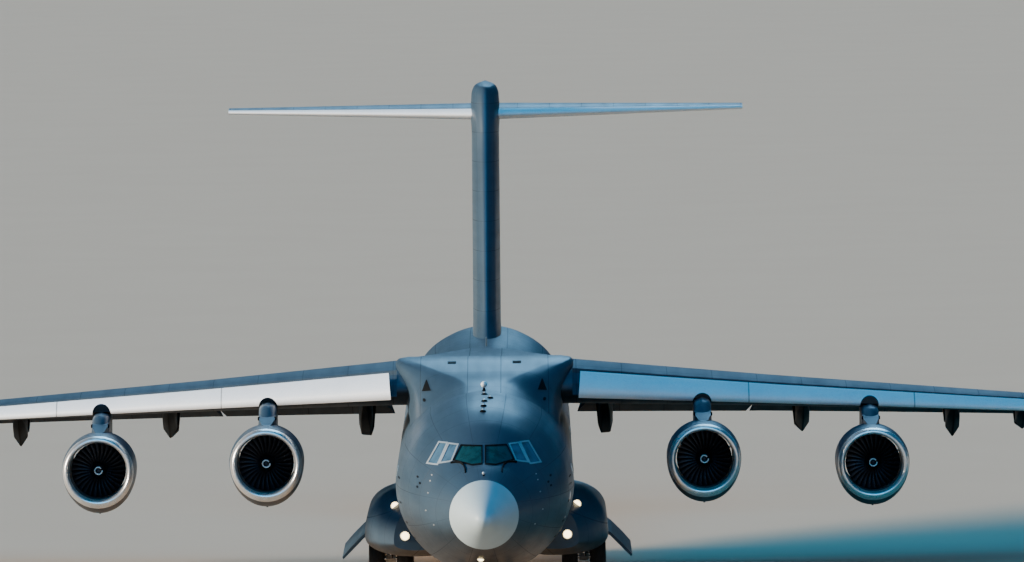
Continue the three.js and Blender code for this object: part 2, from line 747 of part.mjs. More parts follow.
for (const [number, x, d, z] of ENGINES) {
  const duct = turned(DUCT, x, d, z, COWL_SEGMENTS);
  add(`nacelle_${number}`, "grey", cowlOutside(x, d, z, 0).subtract(duct));

  const vanes = [0, 4, 8, 12, 16].map((step) => {
    const angle = (step / COWL_SEGMENTS) * 360;
    const middle = at(x, d + 1.9, z);
    const vane = new THREE.BoxGeometry(0.016 * MM, 0.4 * MM, 0.5982 * MM)
      .translate(0, 0, (0.3 + 0.5982 / 2) * MM)
      .rotateY((angle * Math.PI) / 180);
    return solidOf(vane.translate(middle.x, middle.y, middle.z));
  });
  const shaft = [at(x, d + 1.0, z), at(x, d + 1.4, z)];
  const core = joined([turned(CORE, x, d, z, CORE_SEGMENTS), ...vanes]);
  add(`engine_${number}`, "steel", core.subtract(bore(shaft[0], shaft[1], 0.1, GAP)));

  const spinner = turned(
    [
      [0.5, 0],
      [0.56, 0.09],
      [0.68, 0.19],
      [0.83, FAN.hub],
      [1.08, FAN.hub],
      [1.08, 0],
    ],
    x,
    d,
    z,
    FAN.blades,
  );
  const blades = Array.from({ length: FAN.blades }, (_, i) => {
    const middle = at(x, d + FAN.at, z);
    const blade = new THREE.BoxGeometry(FAN.thick * MM, FAN.chord * MM, (FAN.tip - FAN.root) * MM)
      .translate(0, 0, ((FAN.tip + FAN.root) / 2) * MM)
      .rotateZ((FAN.pitch * Math.PI) / 180)
      .rotateY((i / FAN.blades) * 2 * Math.PI);
    return solidOf(blade.translate(middle.x, middle.y, middle.z));
  });
  add(`fan_${number}`, "dark", joined([spinner, bar(shaft[0], at(x, d + 1.38, z), 0.1), ...blades]));

  const s = station(WING, Math.abs(x));
  const under = (u) => onChord(s, 1, u, lower(u, s)).z / MM;
  const side = [
    [d + 1.5, z + 0.9],
    [d + 1.55, z + 1.12],
    [d + 2.3, under(0.05) - 0.22],
    [s.edge - 0.35, under(0.05) - 0.08],
    [s.edge + 0.35, under(0.05) - 0.06],
    [s.edge + 0.5, under(0.05) + 0.25],
    [s.edge + 0.56 * s.chord, under(0.5) + 0.25],
    [s.edge + 0.62 * s.chord, under(0.6) - 0.05],
    [d + 6.2, z + 0.95],
    [d + 4.4, z + 0.62],
    [d + 3.9, z + 0.5],
    [d + 3.6, z + 0.55],
  ];
  const half = 0.27;
  const plan = [
    [d + 1.45, 0.02],
    [d + 1.6, 0.14],
    [d + 2.1, 0.24],
    [d + 2.9, half],
    [d + 5.2, half],
    [s.edge + 0.62 * s.chord, 0.03],
  ];
  const outline = [...plan, ...plan.toReversed().map(([along, across]) => [along, -across])];
  const lens = loft(
    [z, s.z + 1].map((height) => outline.map(([along, across]) => at(x + across, along, height))),
  );
  const pylonBlock = sideways(side, x - 0.5, x + 0.5).intersect(lens);
  const clearOfEngine = [
    cowlOutside(x, d, z, GAP),
    turned(
      CORE.map(([along, radius]) => [along, radius > 0 ? radius + GAP : 0]),
      x,
      d,
      z,
      CORE_SEGMENTS,
    ),
  ];
  const wing = x > 0 ? wingLeft : wingRight;
  add(`pylon_${number}`, "grey", largest(without(pylonBlock, [...clearOfEngine, wing])));
}

// Doors cut from the fuselage's own skin
const rampBottom = FUSELAGE.find(([d]) => d === RAMP.back)[2];
const rampTop = rampBottom + RAMP.tipDepth;
// The seam of ramp and aft door leans forwards with height, so that each can pass the other.
const seam = (z) => RAMP.back + ((rampBottom - z) * RAMP.lean) / RAMP.tipDepth;
const rampBlock = (play) =>
  sideways(
    [
      [RAMP.front - play, 0.5],
      [RAMP.front - play, FLOOR_Z + play],
      [seam(rampTop) + play, rampTop + play],
      [seam(0.5) + play, 0.5],
    ],
    -RAMP.half - play,
    RAMP.half + play,
  );
const aftDoorBlock = (play) =>
  sideways(
    [
      [seam(1) + 2 * PLAY - play, 1],
      [seam(5.3) + 2 * PLAY - play, 5.3],
      [AFT_DOOR.back + play, 5.3],
      [AFT_DOOR.back + play, 1],
    ],
    -AFT_DOOR.half - play,
    AFT_DOOR.half + play,
  );
const crewDoorBlock = (play) =>
  box(1.5, 3.2, CREW_DOOR.front - play, CREW_DOOR.back + play, CREW_DOOR.bottom - play, CREW_DOOR.top + play);
const skinShell = outerBody.subtract(innerBody);
const across = new THREE.Vector3(1, 0, 0);
const lengthwise = new THREE.Vector3(0, 1, 0);
const rampHinge = (x) => knuckle(at(x, RAMP.front, RAMP.hingeZ), across, 0.11, 0.035);
const aftHinge = (x) => knuckle(at(x, AFT_DOOR.back, AFT_DOOR.hingeZ), across, 0.2, 0.035);
const crewHinge = (d) => knuckle(at(CREW_DOOR.hingeX, d, CREW_DOOR.bottom), lengthwise, 0.1, 0.03);
const DOOR_HINGES = {
  cargo_ramp: [-0.7, 0.7].map(rampHinge),
  aft_cargo_door: [-1.36, 1.36].map(aftHinge),
  crew_door: [6.48, 7.07].map(crewHinge),
};
const DOOR_SKINS = {
  cargo_ramp: outerBody.intersect(rampBlock(0)),
  aft_cargo_door: largest(skinShell.intersect(aftDoorBlock(0))),
  crew_door: largest(skinShell.intersect(crewDoorBlock(0))),
};
for (const [name, hinges] of Object.entries(DOOR_HINGES)) {
  const clear = without(DOOR_SKINS[name], hinges.map((hinge) => hinge.cheekRoom));
  add(name, "grey", joined([clear, ...hinges.map((hinge) => hinge.lug)]));
}
const doorHinges = Object.values(DOOR_HINGES).flat();

// The windscreen band, seen from the front
const screenOutline = (play) => [
  [-1.8 - play, 5.0 - play],
  [-0.95, 4.98 - play],
  [0, 5.02 - play],
  [0.95, 4.98 - play],
  [1.8 + play, 5.0 - play],
  [1.42 + play, 5.64 + play],
  [0.7, 5.66 + play],
  [0, 5.68 + play],
  [-0.7, 5.66 + play],
  [-1.42 - play, 5.64 + play],
];
const screenBlock = (play) => lengthways(screenOutline(play), SCREEN.front, SCREEN.back + play);
const paneShell = outerBody.subtract(loft(fuselageRings(-SCREEN.depth)));
add("windscreen", "glass", largest(paneShell.intersect(screenBlock(-GAP))));

const hold = innerBody.intersect(
  joined([
    box(-3, 3, HOLD.front, HOLD.wingFront, FLOOR_Z, HOLD.ceiling),
    box(-3, 3, HOLD.wingFront - 0.1, HOLD.wingBack, FLOOR_Z, HOLD.wingCeiling),
    box(-3, 3, HOLD.wingBack - 0.1, HOLD.back, FLOOR_Z, HOLD.ceiling),
    box(-3, 3, ENTRY.front, HOLD.front + 0.1, FLOOR_Z, ENTRY.top),
  ]),
);
const flightDeck = innerBody.intersect(
  box(-3, 3, FLIGHT_DECK.front, FLIGHT_DECK.back, FLIGHT_DECK.floor, FLIGHT_DECK.top),
);
const noseWell = box(-0.62, 0.62, 5.25, 7.55, 0.5, NOSE_GEAR.wellRoof);
const openBody = without(outerBody, [
  hold,
  flightDeck,
  noseWell,
  rampBlock(PLAY),
  aftDoorBlock(PLAY),
  crewDoorBlock(PLAY),
  screenBlock(0),
  clearOfWings,
  ...doorHinges.map((hinge) => hinge.lugRoom),
]);
const hinged = joined([openBody, ...doorHinges.map((hinge) => hinge.cheeks)]);
add("fuselage", "grey", largest(without(hinged, doorHinges.map((hinge) => hinge.bore))));
const fairingLoft = loft(FAIRING.map(fairingRing));
add("wing_fairing", "grey", largest(without(fairingLoft, [clearOfBody, clearOfWings])));

const RADOME = [
  [0.0, 0.04],
  [0.03, 0.12],
  [0.1, 0.22],
  [0.4, 0.42],
  [0.9, 0.72],
  [1.5 - GAP, 1.045],
];
add(
  "radome",
  "radome",
  loft(
    RADOME.map(([d, radius]) =>
      oval(24, 2, (across, up) => at(across * radius, d, 3.6 + 0.06 * (d / 1.5) + up * radius)),
    ),
  ),
);

// Sponsons: d, outer x, top, bottom, with the widest place at one height
const SPONSON = [
  [14.2, 2.9, 2.75, 1.5],
  [15.4, 3.45, 3.12, 1.22],
  [17.2, 3.86, 3.3, 1.08],
  [25.6, 3.86, 2.8, 1.08],
  [28.4, 3.4, 2.5, 1.22],
  [30.2, 2.85, 2.3, 1.5],
];
const SPONSON_MIDDLE = 2.2;
const SPONSON_WAIST = 1.75;
for (const [hand, side] of sides) {
  const rings = (grow) =>
    SPONSON.map(([d, outer, top, bottom]) =>
      oval(16, 2.3, (across, up) => {
        const tall = up > 0 ? top - SPONSON_WAIST : SPONSON_WAIST - bottom;
        const wide = outer - SPONSON_MIDDLE;
        return at(
          side * (SPONSON_MIDDLE + across * (wide + grow)),
          d,
          SPONSON_WAIST + up * (tall + grow),
        );
      }),
    );
  const [wellA, wellB] = [side * WELL.inner, side * WELL.outer].sort((a, b) => a - b);
  const well = box(wellA, wellB, WELL.front, WELL.back, 0.5, WELL.roof);
  const rampSide = box(-RAMP.half - PLAY, RAMP.half + PLAY, RAMP.front - PLAY, 36, 0.5, 3);
  add(`sponson_${hand}`, "grey", largest(without(loft(rings(0)), [clearOfBody, well, rampSide])));

  // The legs hang from one beam under the well's roof.
  const x = side * MAIN_GEAR.x;
  const beam = box(
    x - 0.14,
    x + 0.14,
    MAIN_GEAR.rows[0] - 0.25,
    MAIN_GEAR.rows[2] + 0.25,
    WELL.roof - 0.24,
    WELL.roof - GAP,
  );
  const axleZ = MAIN_GEAR.tyre;
  const legs = MAIN_GEAR.rows.flatMap((d) => [
    bar(at(x, d, WELL.roof - 0.1), at(x, d, axleZ), 0.12, 8),
    bar(at(x - 0.15, d, axleZ), at(x + 0.15, d, axleZ), 0.13, AXLE_SIDES),
    bar(at(x, d + 0.45, WELL.roof - 0.12), at(x, d + 0.05, axleZ + 0.55), 0.05, 6),
  ]);
  const bores = MAIN_GEAR.rows.map((d) =>
    bore(at(x - 0.3, d, axleZ), at(x + 0.3, d, axleZ), AXLE, GAP, AXLE_SIDES),
  );
  add(`main_legs_${hand}`, "white", without(joined([beam, ...legs]), bores));

  const door = lengthways(
    mirrored(
      [
        [3.62, 1.62],
        [3.95, 1.38],
        [4.3, 1.02],
        [4.6, 0.72],
        [4.64, 0.78],
        [4.36, 1.1],
        [4.0, 1.46],
        [3.66, 1.7],
      ],
      side,
    ),
    WELL.front + 0.1,
    WELL.back - 0.1,
  );
  add(`main_gear_door_${hand}`, "grey", largest(without(door, [loft(rings(GAP))])));

  const noseDoor = lengthways(
    mirrored(
      [
        [0.6, 1.75],
        [0.66, 1.8],
        [1.14, 0.98],
        [1.08, 0.95],
      ],
      side,
    ),
    5.35,
    7.45,
  );
  add(`nose_gear_door_${hand}`, "grey", largest(without(noseDoor, [clearOfBody])));
}

// Wheel pairs, each one body on its axle
// Half a tyre and its hub: share of the width across, share of the radius
const TYRE_SHAPE = [
  [-0.3, 0],
  [-0.3, 0.4],
  [-0.5, 0.7],
  [-0.38, 0.95],
  [-0.16, 1],
  [0.16, 1],
  [0.38, 0.95],
  [0.5, 0.7],
  [0.3, 0.4],
  [0.3, 0],
];
const TYRE_SIDES = 16;
function wheelPair(x, d, radius, width, track) {
  const half = Math.PI / TYRE_SIDES; // a flat of the tread lies on the ground
  const corner = (radius * MM) / Math.cos(half);
  const outline = TYRE_SHAPE.map(([across, share]) => new THREE.Vector2(share * corner, across * width * MM));
  const wheels = [-1, 1].map((hand) => {
    const wheel = new THREE.LatheGeometry(outline, TYRE_SIDES, half).rotateZ(Math.PI / 2);
    const middle = at(x + hand * track, d, radius);
    return solidOf(wheel.translate(middle.x, middle.y, middle.z));
  });
  const axle = bar(at(x - track, d, radius), at(x + track, d, radius), AXLE, AXLE_SIDES);
  return joined([axle, ...wheels]);
}
for (const [hand, side] of sides) {
  MAIN_GEAR.rows.forEach((d, row) => {
    const pair = wheelPair(side * MAIN_GEAR.x, d, MAIN_GEAR.tyre, MAIN_GEAR.width, MAIN_GEAR.track);
    add(`main_wheels_${hand}_${row + 1}`, "tyre", pair);
  });
}
const nose = NOSE_GEAR;
add(
  "nose_leg",
  "white",
  joined([
    bar(at(0, nose.d, nose.wellRoof - GAP), at(0, nose.d, 1.25), 0.12),
    bar(at(0, nose.d + 0.8, nose.wellRoof - 0.06), at(0, nose.d + 0.08, 1.4), 0.05, 6),
  ]),
);
add(
  "nose_steering_leg",
  "white",
  without(
    joined([
      bar(at(0, nose.d, 1.25 - GAP), at(0, nose.d, 1.02), 0.15),
      bar(at(0, nose.d, 1.1), at(0, nose.d, nose.tyre), 0.085),
      bar(at(-0.15, nose.d, nose.tyre), at(0.15, nose.d, nose.tyre), 0.12),
    ]),
    [bore(at(-0.3, nose.d, nose.tyre), at(0.3, nose.d, nose.tyre), AXLE, GAP, AXLE_SIDES)],
  ),
);
add("nose_wheels", "tyre", wheelPair(0, nose.d, nose.tyre, nose.width, nose.track));

export default model;
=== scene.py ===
"""Looks of a half-scale military transport plane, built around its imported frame.

Sizes are in metres of the full-size aircraft: x to its left side, d back from the nose tip, z up from the
ground. at() turns them into the frame's metres.
"""

import json
import logging
import math
from dataclasses import dataclass
from enum import Enum
from typing import Callable, Sequence

import bpy
from mathutils import Matrix, Vector

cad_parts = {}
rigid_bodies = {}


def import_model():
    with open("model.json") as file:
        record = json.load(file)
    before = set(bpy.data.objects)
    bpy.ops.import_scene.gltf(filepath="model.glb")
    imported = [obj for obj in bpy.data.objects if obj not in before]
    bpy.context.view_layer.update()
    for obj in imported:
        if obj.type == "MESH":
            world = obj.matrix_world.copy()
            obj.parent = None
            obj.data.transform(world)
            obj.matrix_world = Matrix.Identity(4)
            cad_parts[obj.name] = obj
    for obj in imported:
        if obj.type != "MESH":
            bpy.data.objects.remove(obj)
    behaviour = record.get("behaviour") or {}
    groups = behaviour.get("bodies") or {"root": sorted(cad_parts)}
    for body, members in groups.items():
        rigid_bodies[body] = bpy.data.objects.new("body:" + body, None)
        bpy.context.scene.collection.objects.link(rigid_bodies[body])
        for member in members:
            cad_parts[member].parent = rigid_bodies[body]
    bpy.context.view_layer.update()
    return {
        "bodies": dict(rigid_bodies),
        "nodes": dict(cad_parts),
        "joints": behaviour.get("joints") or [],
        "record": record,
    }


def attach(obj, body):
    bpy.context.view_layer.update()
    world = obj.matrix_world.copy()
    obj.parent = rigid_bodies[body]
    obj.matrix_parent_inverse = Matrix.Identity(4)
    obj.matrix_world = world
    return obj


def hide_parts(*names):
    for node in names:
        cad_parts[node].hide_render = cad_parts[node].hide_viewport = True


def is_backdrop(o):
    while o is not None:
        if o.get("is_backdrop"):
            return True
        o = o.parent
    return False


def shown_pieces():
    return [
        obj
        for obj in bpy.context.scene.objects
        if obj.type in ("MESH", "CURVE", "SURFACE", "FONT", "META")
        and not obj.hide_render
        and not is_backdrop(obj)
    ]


LOG = logging.getLogger("transport_plane")
SCALE = 0.5
LENGTH = 47.0
GAP = 0.0008
Row = Sequence[float]
Ring = list[Vector]
Section = Callable[["Station"], list[tuple[float, float]]]

FUSELAGE: list[Row] = [
    # d, top, bottom, half width
    (1.5, 4.705, 2.615, 1.045),
    (2.2, 4.98, 2.38, 1.36),
    (3.0, 5.24, 2.17, 1.72),
    (3.8, 5.75, 1.96, 2.02),
    (4.8, 6.22, 1.72, 2.3),
    (6.5, 6.62, 1.44, 2.6),
    (9.0, 6.8, 1.3, 2.75),
    (29.0, 6.8, 1.3, 2.75),
    (32.0, 6.82, 1.78, 2.74),
    (35.5, 6.85, 2.76, 2.62),
    (38.5, 6.85, 3.72, 2.38),
    (41.5, 6.78, 4.72, 1.8),
    (44.2, 6.62, 5.6, 1.0),
    (46.0, 6.4, 6.05, 0.3),
]
RADOME: list[Row] = [
    # d, radius
    (0.0, 0.04),
    (0.03, 0.12),
    (0.1, 0.22),
    (0.4, 0.42),
    (0.9, 0.72),
    (1.5 - GAP, 1.045),
]
FAIRING: list[Row] = [
    # d, top, bottom, half width, share of its own form in a round one
    (9.4, 6.79, 6.3, 2.5, 0.0),
    (11.4, 6.98, 5.9, 2.55, 0.0),
    (13.3, 7.24, 5.4, 2.6, 0.5),
    (15.8, 7.44, 5.2, 2.8, 1.0),
    (21.6, 7.05, 5.2, 2.78, 1.0),
    (25.8, 6.94, 5.6, 2.4, 0.6),
    (29.5, 6.88, 6.3, 2.6, 0.0),
]
BARREL_MIDDLE = 4.05
FAIRING_SHAPE: list[Row] = [
    # share of the half height, share of the half width, degrees around the round form,
    # from the bottom's middle to the top's
    (-1.0, 0.6, 85.0),
    (-0.4, 0.87, 68.0),
    (0.1, 0.885, 58.0),
    (0.42, 0.93, 51.0),
    (0.66, 0.985, 43.0),
    (0.84, 1.0, 34.0),
    (0.95, 0.97, 24.0),
    (1.0, 0.86, 12.0),
]
WING: list[Row] = [
    # x, leading edge d, leading edge z, chord, thickness share, tilt
    (0.0003, 14.5, 6.57, 9.7, 0.142, 3.0),
    (2.75, 14.5, 6.57, 9.7, 0.142, 3.0),
    (9.0, 17.62, 6.02, 7.28, 0.13, 2.4),
    (24.0, 25.1, 4.7, 2.6, 0.11, 1.0),
]
TAILPLANE: list[Row] = [
    # x, leading edge d, leading edge z, chord, thickness share, tilt
    (0.05, 41.2, 14.0, 4.75, 0.11, 0.0),
    (8.86, 45.1, 14.0, 1.9, 0.1, 0.0),
]
FIN: list[Row] = [
    # z, leading edge d, trailing edge d, half thickness
    (6.3, 32.6, 44.2, 0.5),
    (7.2, 34.5, 44.4, 0.47),
    (13.4, 40.0, 45.65, 0.47),
    (14.0, 40.4, 45.9, 0.5),
    (14.65, 40.9, 46.0, 0.47),
    (14.87, 41.15, 45.97, 0.4),
    (14.97, 41.4, 45.9, 0.3),
    (15.0, 41.7, 45.8, 0.16),
]
FIN_SHAPE: list[Row] = [
    # share of the chord, share of the half thickness
    (0.0, 0.0),
    (0.001, 0.08),
    (0.004, 0.155),
    (0.01, 0.24),
    (0.02, 0.335),
    (0.045, 0.51),
    (0.08, 0.68),
    (0.22, 0.96),
    (0.42, 1.0),
    (0.7, 0.74),
    (1.0, 0.05),
]
SPONSON: list[Row] = [
    # d, outer x, top, bottom
    (14.2, 2.9, 2.75, 1.5),
    (15.4, 3.45, 3.12, 1.22),
    (17.2, 3.86, 3.3, 1.08),
    (25.6, 3.86, 2.8, 1.08),
    (28.4, 3.4, 2.5, 1.22),
    (30.2, 2.85, 2.3, 1.5),
]
SPONSON_MIDDLE = 2.2
SPONSON_WAIST = 1.75
ENGINES: list[Row] = [
    # number, x, intake d, axis z
    (1, 12.23, 15.5, 3.97),
    (2, 6.85, 12.5, 4.37),
    (3, -6.85, 12.5, 4.37),
    (4, -12.23, 15.5, 3.97),
]
COWL_OUTSIDE: list[Row] = [
    # d behind the intake, radius, how much lower the belly hangs
    (0.0, 1.0, 0.0),
    (0.07, 1.06, 0.01),
    (0.35, 1.12, 0.06),
    (1.3, 1.17, 0.23),
    (2.2, 1.16, 0.23),
    (3.0, 1.09, 0.12),
    (3.7, 1.0, 0.0),
]
COWL_INSIDE: list[Row] = [
    # d behind the intake, radius
    (0.0, 0.995),
    (0.07, 0.94),
    (0.35, 0.9),
    (0.8, 0.9),
    (2.6, 0.9),
    (3.7, 0.97),
]
SIDES = (("right", -1), ("left", 1))
AHEAD = Vector((0, 1, 0))
UP = Vector((0, 0, 1))
# A direction that no bar runs in, which its rings are turned from
ASKEW = Vector((0.0123, 0.031, 1.0))
# Radii under this are points of the axis
NO_RADIUS = 1e-6


def at(x: float, d: float, z: float) -> Vector:
    """The frame's point for full-size x, d behind the nose tip, and z."""
    return Vector((x * SCALE, (d - LENGTH / 2) * SCALE, z * SCALE))


def smoothed(rows: Sequence[Row], steps: int) -> list[list[float]]:
    """Fills a table in along smooth curves that never overshoot its rows.

    Args:
        rows: rows of numbers, sorted by their first column.
        steps: how many spans each gap between two rows becomes.

    Returns:
        The longer table, with the given rows among its rows.
    """
    first = [row[0] for row in rows]

    def slopes(column: int) -> list[float]:
        """Monotone slopes of one column at each row.

        Args:
            column: the column's number.

        Returns:
            The slopes.
        """
        rise = [
            (rows[i + 1][column] - rows[i][column]) / (first[i + 1] - first[i])
            for i in range(len(rows) - 1)
        ]
        made = [rise[0]]
        for before, after in zip(rise, rise[1:]):
            made.append(0.0 if before * after <= 0 else 2 * before * after / (before + after))
        return [*made, rise[-1]]

    tangents = [slopes(column) for column in range(1, len(rows[0]))]
    filled: list[list[float]] = []
    for i in range(len(rows) - 1):
        width = first[i + 1] - first[i]
        for step in range(steps):
            t = step / steps
            h0, h1 = 1 - 3 * t**2 + 2 * t**3, 3 * t**2 - 2 * t**3
            g0, g1 = t - 2 * t**2 + t**3, t**3 - t**2
            row = [first[i] + t * width]
            for column, slope in enumerate(tangents, start=1):
                ends = h0 * rows[i][column] + h1 * rows[i + 1][column]
                row.append(ends + width * (g0 * slope[i] + g1 * slope[i + 1]))
            filled.append(row)
    return [*filled, list(rows[-1])]


def lookup(rows: Sequence[Row], first: float) -> list[float]:
    """Reads a table at a value of its first column, straight between its rows.

    Args:
        rows: rows of numbers, sorted by their first column.
        first: the value.

    Returns:
        The row there.
    """
    k = 0
    while k + 2 < len(rows) and first > rows[k + 1][0]:
        k += 1
    share = (first - rows[k][0]) / (rows[k + 1][0] - rows[k][0])
    return [a + share * (b - a) for a, b in zip(rows[k], rows[k + 1])]


def oval(count: int, exponent: float = 2.0) -> list[tuple[float, float]]:
    """A rounded ring of the size 1: exponent 2 is a circle, more is squarer.

    Args:
        count: points round it.
        exponent: how square it is.

    Returns:
        How far across and up each point lies.
    """
    ring = []
    for i in range(count):
        angle = (i + 0.5) / count * math.tau
        sine, cosine = math.sin(angle), math.cos(angle)
        across = math.copysign(abs(sine) ** (2 / exponent), sine)
        ring.append((across, math.copysign(abs(cosine) ** (2 / exponent), cosine)))
    return ring


# Meshes


def piece(name: str, points: Sequence[Vector], faces: Sequence[Sequence[int]]) -> bpy.types.Object:
    """A mesh object at the origin, its faces turned outwards.

    Args:
        name: the object's name.
        points: its vertices in the frame.
        faces: vertex numbers of each face.

    Returns:
        The linked object.
    """
    mesh = bpy.data.meshes.new(name)
    mesh.from_pydata([tuple(point) for point in points], [], [tuple(face) for face in faces])
    mesh.validate()
    obj = bpy.data.objects.new(name, mesh)
    bpy.context.scene.collection.objects.link(obj)
    volume = sum(
        mesh.vertices[t.vertices[0]].co.dot(
            mesh.vertices[t.vertices[1]].co.cross(mesh.vertices[t.vertices[2]].co)
        )
        for t in loop_triangles(mesh)
    )
    if volume < 0:
        mesh.flip_normals()
    return obj


def loop_triangles(mesh: bpy.types.Mesh) -> Sequence[bpy.types.MeshLoopTriangle]:
    """A mesh's triangles, worked out afresh."""
    mesh.calc_loop_triangles()
    return mesh.loop_triangles


def loft(name: str, rings: Sequence[Ring]) -> bpy.types.Object:
    """A closed skin through rings of the same number of points, flat at both ends.

    Args:
        name: the object's name.
        rings: its rings, from one end to the other.

    Returns:
        The object.
    """
    count = len(rings[0])
    faces: list[Sequence[int]] = []
    for k in range(len(rings) - 1):
        for i in range(count):
            a, b = k * count + i, k * count + (i + 1) % count
            faces.append((a, b, b + count, a + count))
    last = (len(rings) - 1) * count
    faces.append(list(range(count))[::-1])
    faces.append([last + i for i in range(count)])
    return piece(name, [point for ring in rings for point in ring], faces)


def turned(name: str, profile: Sequence[Row], centre: Vector, axis: Vector, count: int) -> bpy.types.Object:
    """A solid of revolution about an axis.

    Args:
        name: the object's name.
        profile: a closed outline of (metres along the axis, radius), full size.
        centre: where the axis starts, in the frame.
        axis: its direction.
        count: points round the axis.

    Returns:
        The object.
    """
    along = axis.normalized()
    side = along.orthogonal().normalized()
    other = along.cross(side)
    points, rings = [], []
    for distance, radius in profile:
        middle = centre + along * distance * SCALE
        if radius < NO_RADIUS:
            points.append(middle)
            rings.append([len(points) - 1] * count)
            continue
        start = len(points)
        for i in range(count):
            angle = i / count * math.tau
            points.append(middle + (side * math.cos(angle) + other * math.sin(angle)) * radius * SCALE)
        rings.append(list(range(start, start + count)))
    faces = []
    pairs = list(zip(rings, rings[1:]))
    if profile[0][1] > NO_RADIUS:
        pairs.append((rings[-1], rings[0]))
    for near, far in pairs:
        for i in range(count):
            j = (i + 1) % count
            face = list(dict.fromkeys([near[i], near[j], far[j], far[i]]))
            if len(face) > 2:
                faces.append(face)
    return piece(name, points, faces)


def tube(name: str, route: Sequence[Vector], radius: float, count: int = 12) -> bpy.types.Object:
    """A round bar along a route.

    Args:
        name: the object's name.
        route: points of its middle line, in the frame.
        radius: its radius, full size.
        count: points round it.

    Returns:
        The object.
    """
    rings = []
    turns = [k / count * math.tau for k in range(count)]
    for i, point in enumerate(route):
        along = (route[min(i + 1, len(route) - 1)] - route[max(i - 1, 0)]).normalized()
        side = along.cross(ASKEW).normalized()
        other = along.cross(side)
        rings.append([point + (side * math.cos(a) + other * math.sin(a)) * radius * SCALE for a in turns])
    return loft(name, rings)


def ball(centre: Vector, radius: float, steps: int, count: int) -> bpy.types.Object:
    """A ball that stands on a point.

    Args:
        centre: the point under it, in the frame.
        radius: its radius, full size.
        steps: spans from its foot to its top.
        count: points round it.

    Returns:
        The object.
    """
    turns = [i / steps * math.pi for i in range(steps + 1)]
    profile = [(radius - radius * math.cos(a), radius * math.sin(a)) for a in turns]
    return turned("ball", profile, centre, UP, count)


def block(name: str, x: Row, d: Row, z: Row) -> bpy.types.Object:
    """A box between full-size limits, for cutting."""
    return prism(name, [(x[0], z[0]), (x[1], z[0]), (x[1], z[1]), (x[0], z[1])], *d)


def prism(name: str, outline: Sequence[Row], front: float, back: float) -> bpy.types.Object:
    """An outline of (x, z) points, as long as front to back."""
    return loft(name, [[at(x, d, z) for x, z in outline] for d in (front, back)])


def side_prism(name: str, outline: Sequence[Row], left: float, right: float) -> bpy.types.Object:
    """An outline of (d, z) points, as thick as left to right."""
    return loft(name, [[at(x, d, z) for d, z in outline] for x in (left, right)])


class Cut(Enum):
    """What a boolean keeps."""

    AWAY = "DIFFERENCE"
    SHARED = "INTERSECT"


def boolean(
    obj: bpy.types.Object, tools: Sequence[bpy.types.Object], cut: Cut = Cut.AWAY
) -> bpy.types.Object:
    """Cuts a mesh with others, which are used up.

    Args:
        obj: the mesh that stays.
        tools: the meshes it is cut with.
        cut: what is kept.

    Returns:
        The same object.
    """
    for tool in tools:
        modifier = obj.modifiers.new("cut", "BOOLEAN")
        modifier.operation = cut.value
        modifier.solver = "MANIFOLD"
        modifier.object = tool
    shaped = bpy.data.meshes.new_from_object(obj.evaluated_get(bpy.context.evaluated_depsgraph_get()))
    shaped.materials.clear()
    obj.modifiers.clear()
    obj.data = shaped
    for tool in tools:
        bpy.data.objects.remove(tool)
    return obj


def joined(name: str, parts: Sequence[bpy.types.Object]) -> bpy.types.Object:
    """Several meshes as one object, each part keeping its own finish.

    Args:
        name: the object's name.
        parts: the meshes, which are used up.

    Returns:
        The object.
    """
    points: list[Vector] = []
    faces: list[list[int]] = []
    slots: list[int] = []
    finishes: list[bpy.types.Material] = []
    for part in parts:
        own = list(part.data.materials)
        for material in own:
            if material not in finishes:
                finishes.append(material)
        start = len(points)
        points.extend(vertex.co.copy() for vertex in part.data.vertices)
        for polygon in part.data.polygons:
            faces.append([start + i for i in polygon.vertices])
            slots.append(finishes.index(own[polygon.material_index]) if own else 0)
        bpy.data.objects.remove(part)
    mesh = bpy.data.meshes.new(name)
    mesh.from_pydata([tuple(point) for point in points], [], faces)
    for material in finishes:
        mesh.materials.append(material)
    mesh.polygons.foreach_set("material_index", slots)
    obj = bpy.data.objects.new(name, mesh)
    bpy.context.scene.collection.objects.link(obj)
    return obj


def shaded(obj: bpy.types.Object, angle: float = 30.0) -> bpy.types.Object:
    """Gives a mesh smooth shading.

    Args:
        obj: the mesh.
        angle: edges over this many degrees stay sharp.

    Returns:
        The same object.
    """
    obj.data.shade_smooth()
    obj.data.set_sharp_from_angle(angle=math.radians(angle))
    return obj


# Shaders


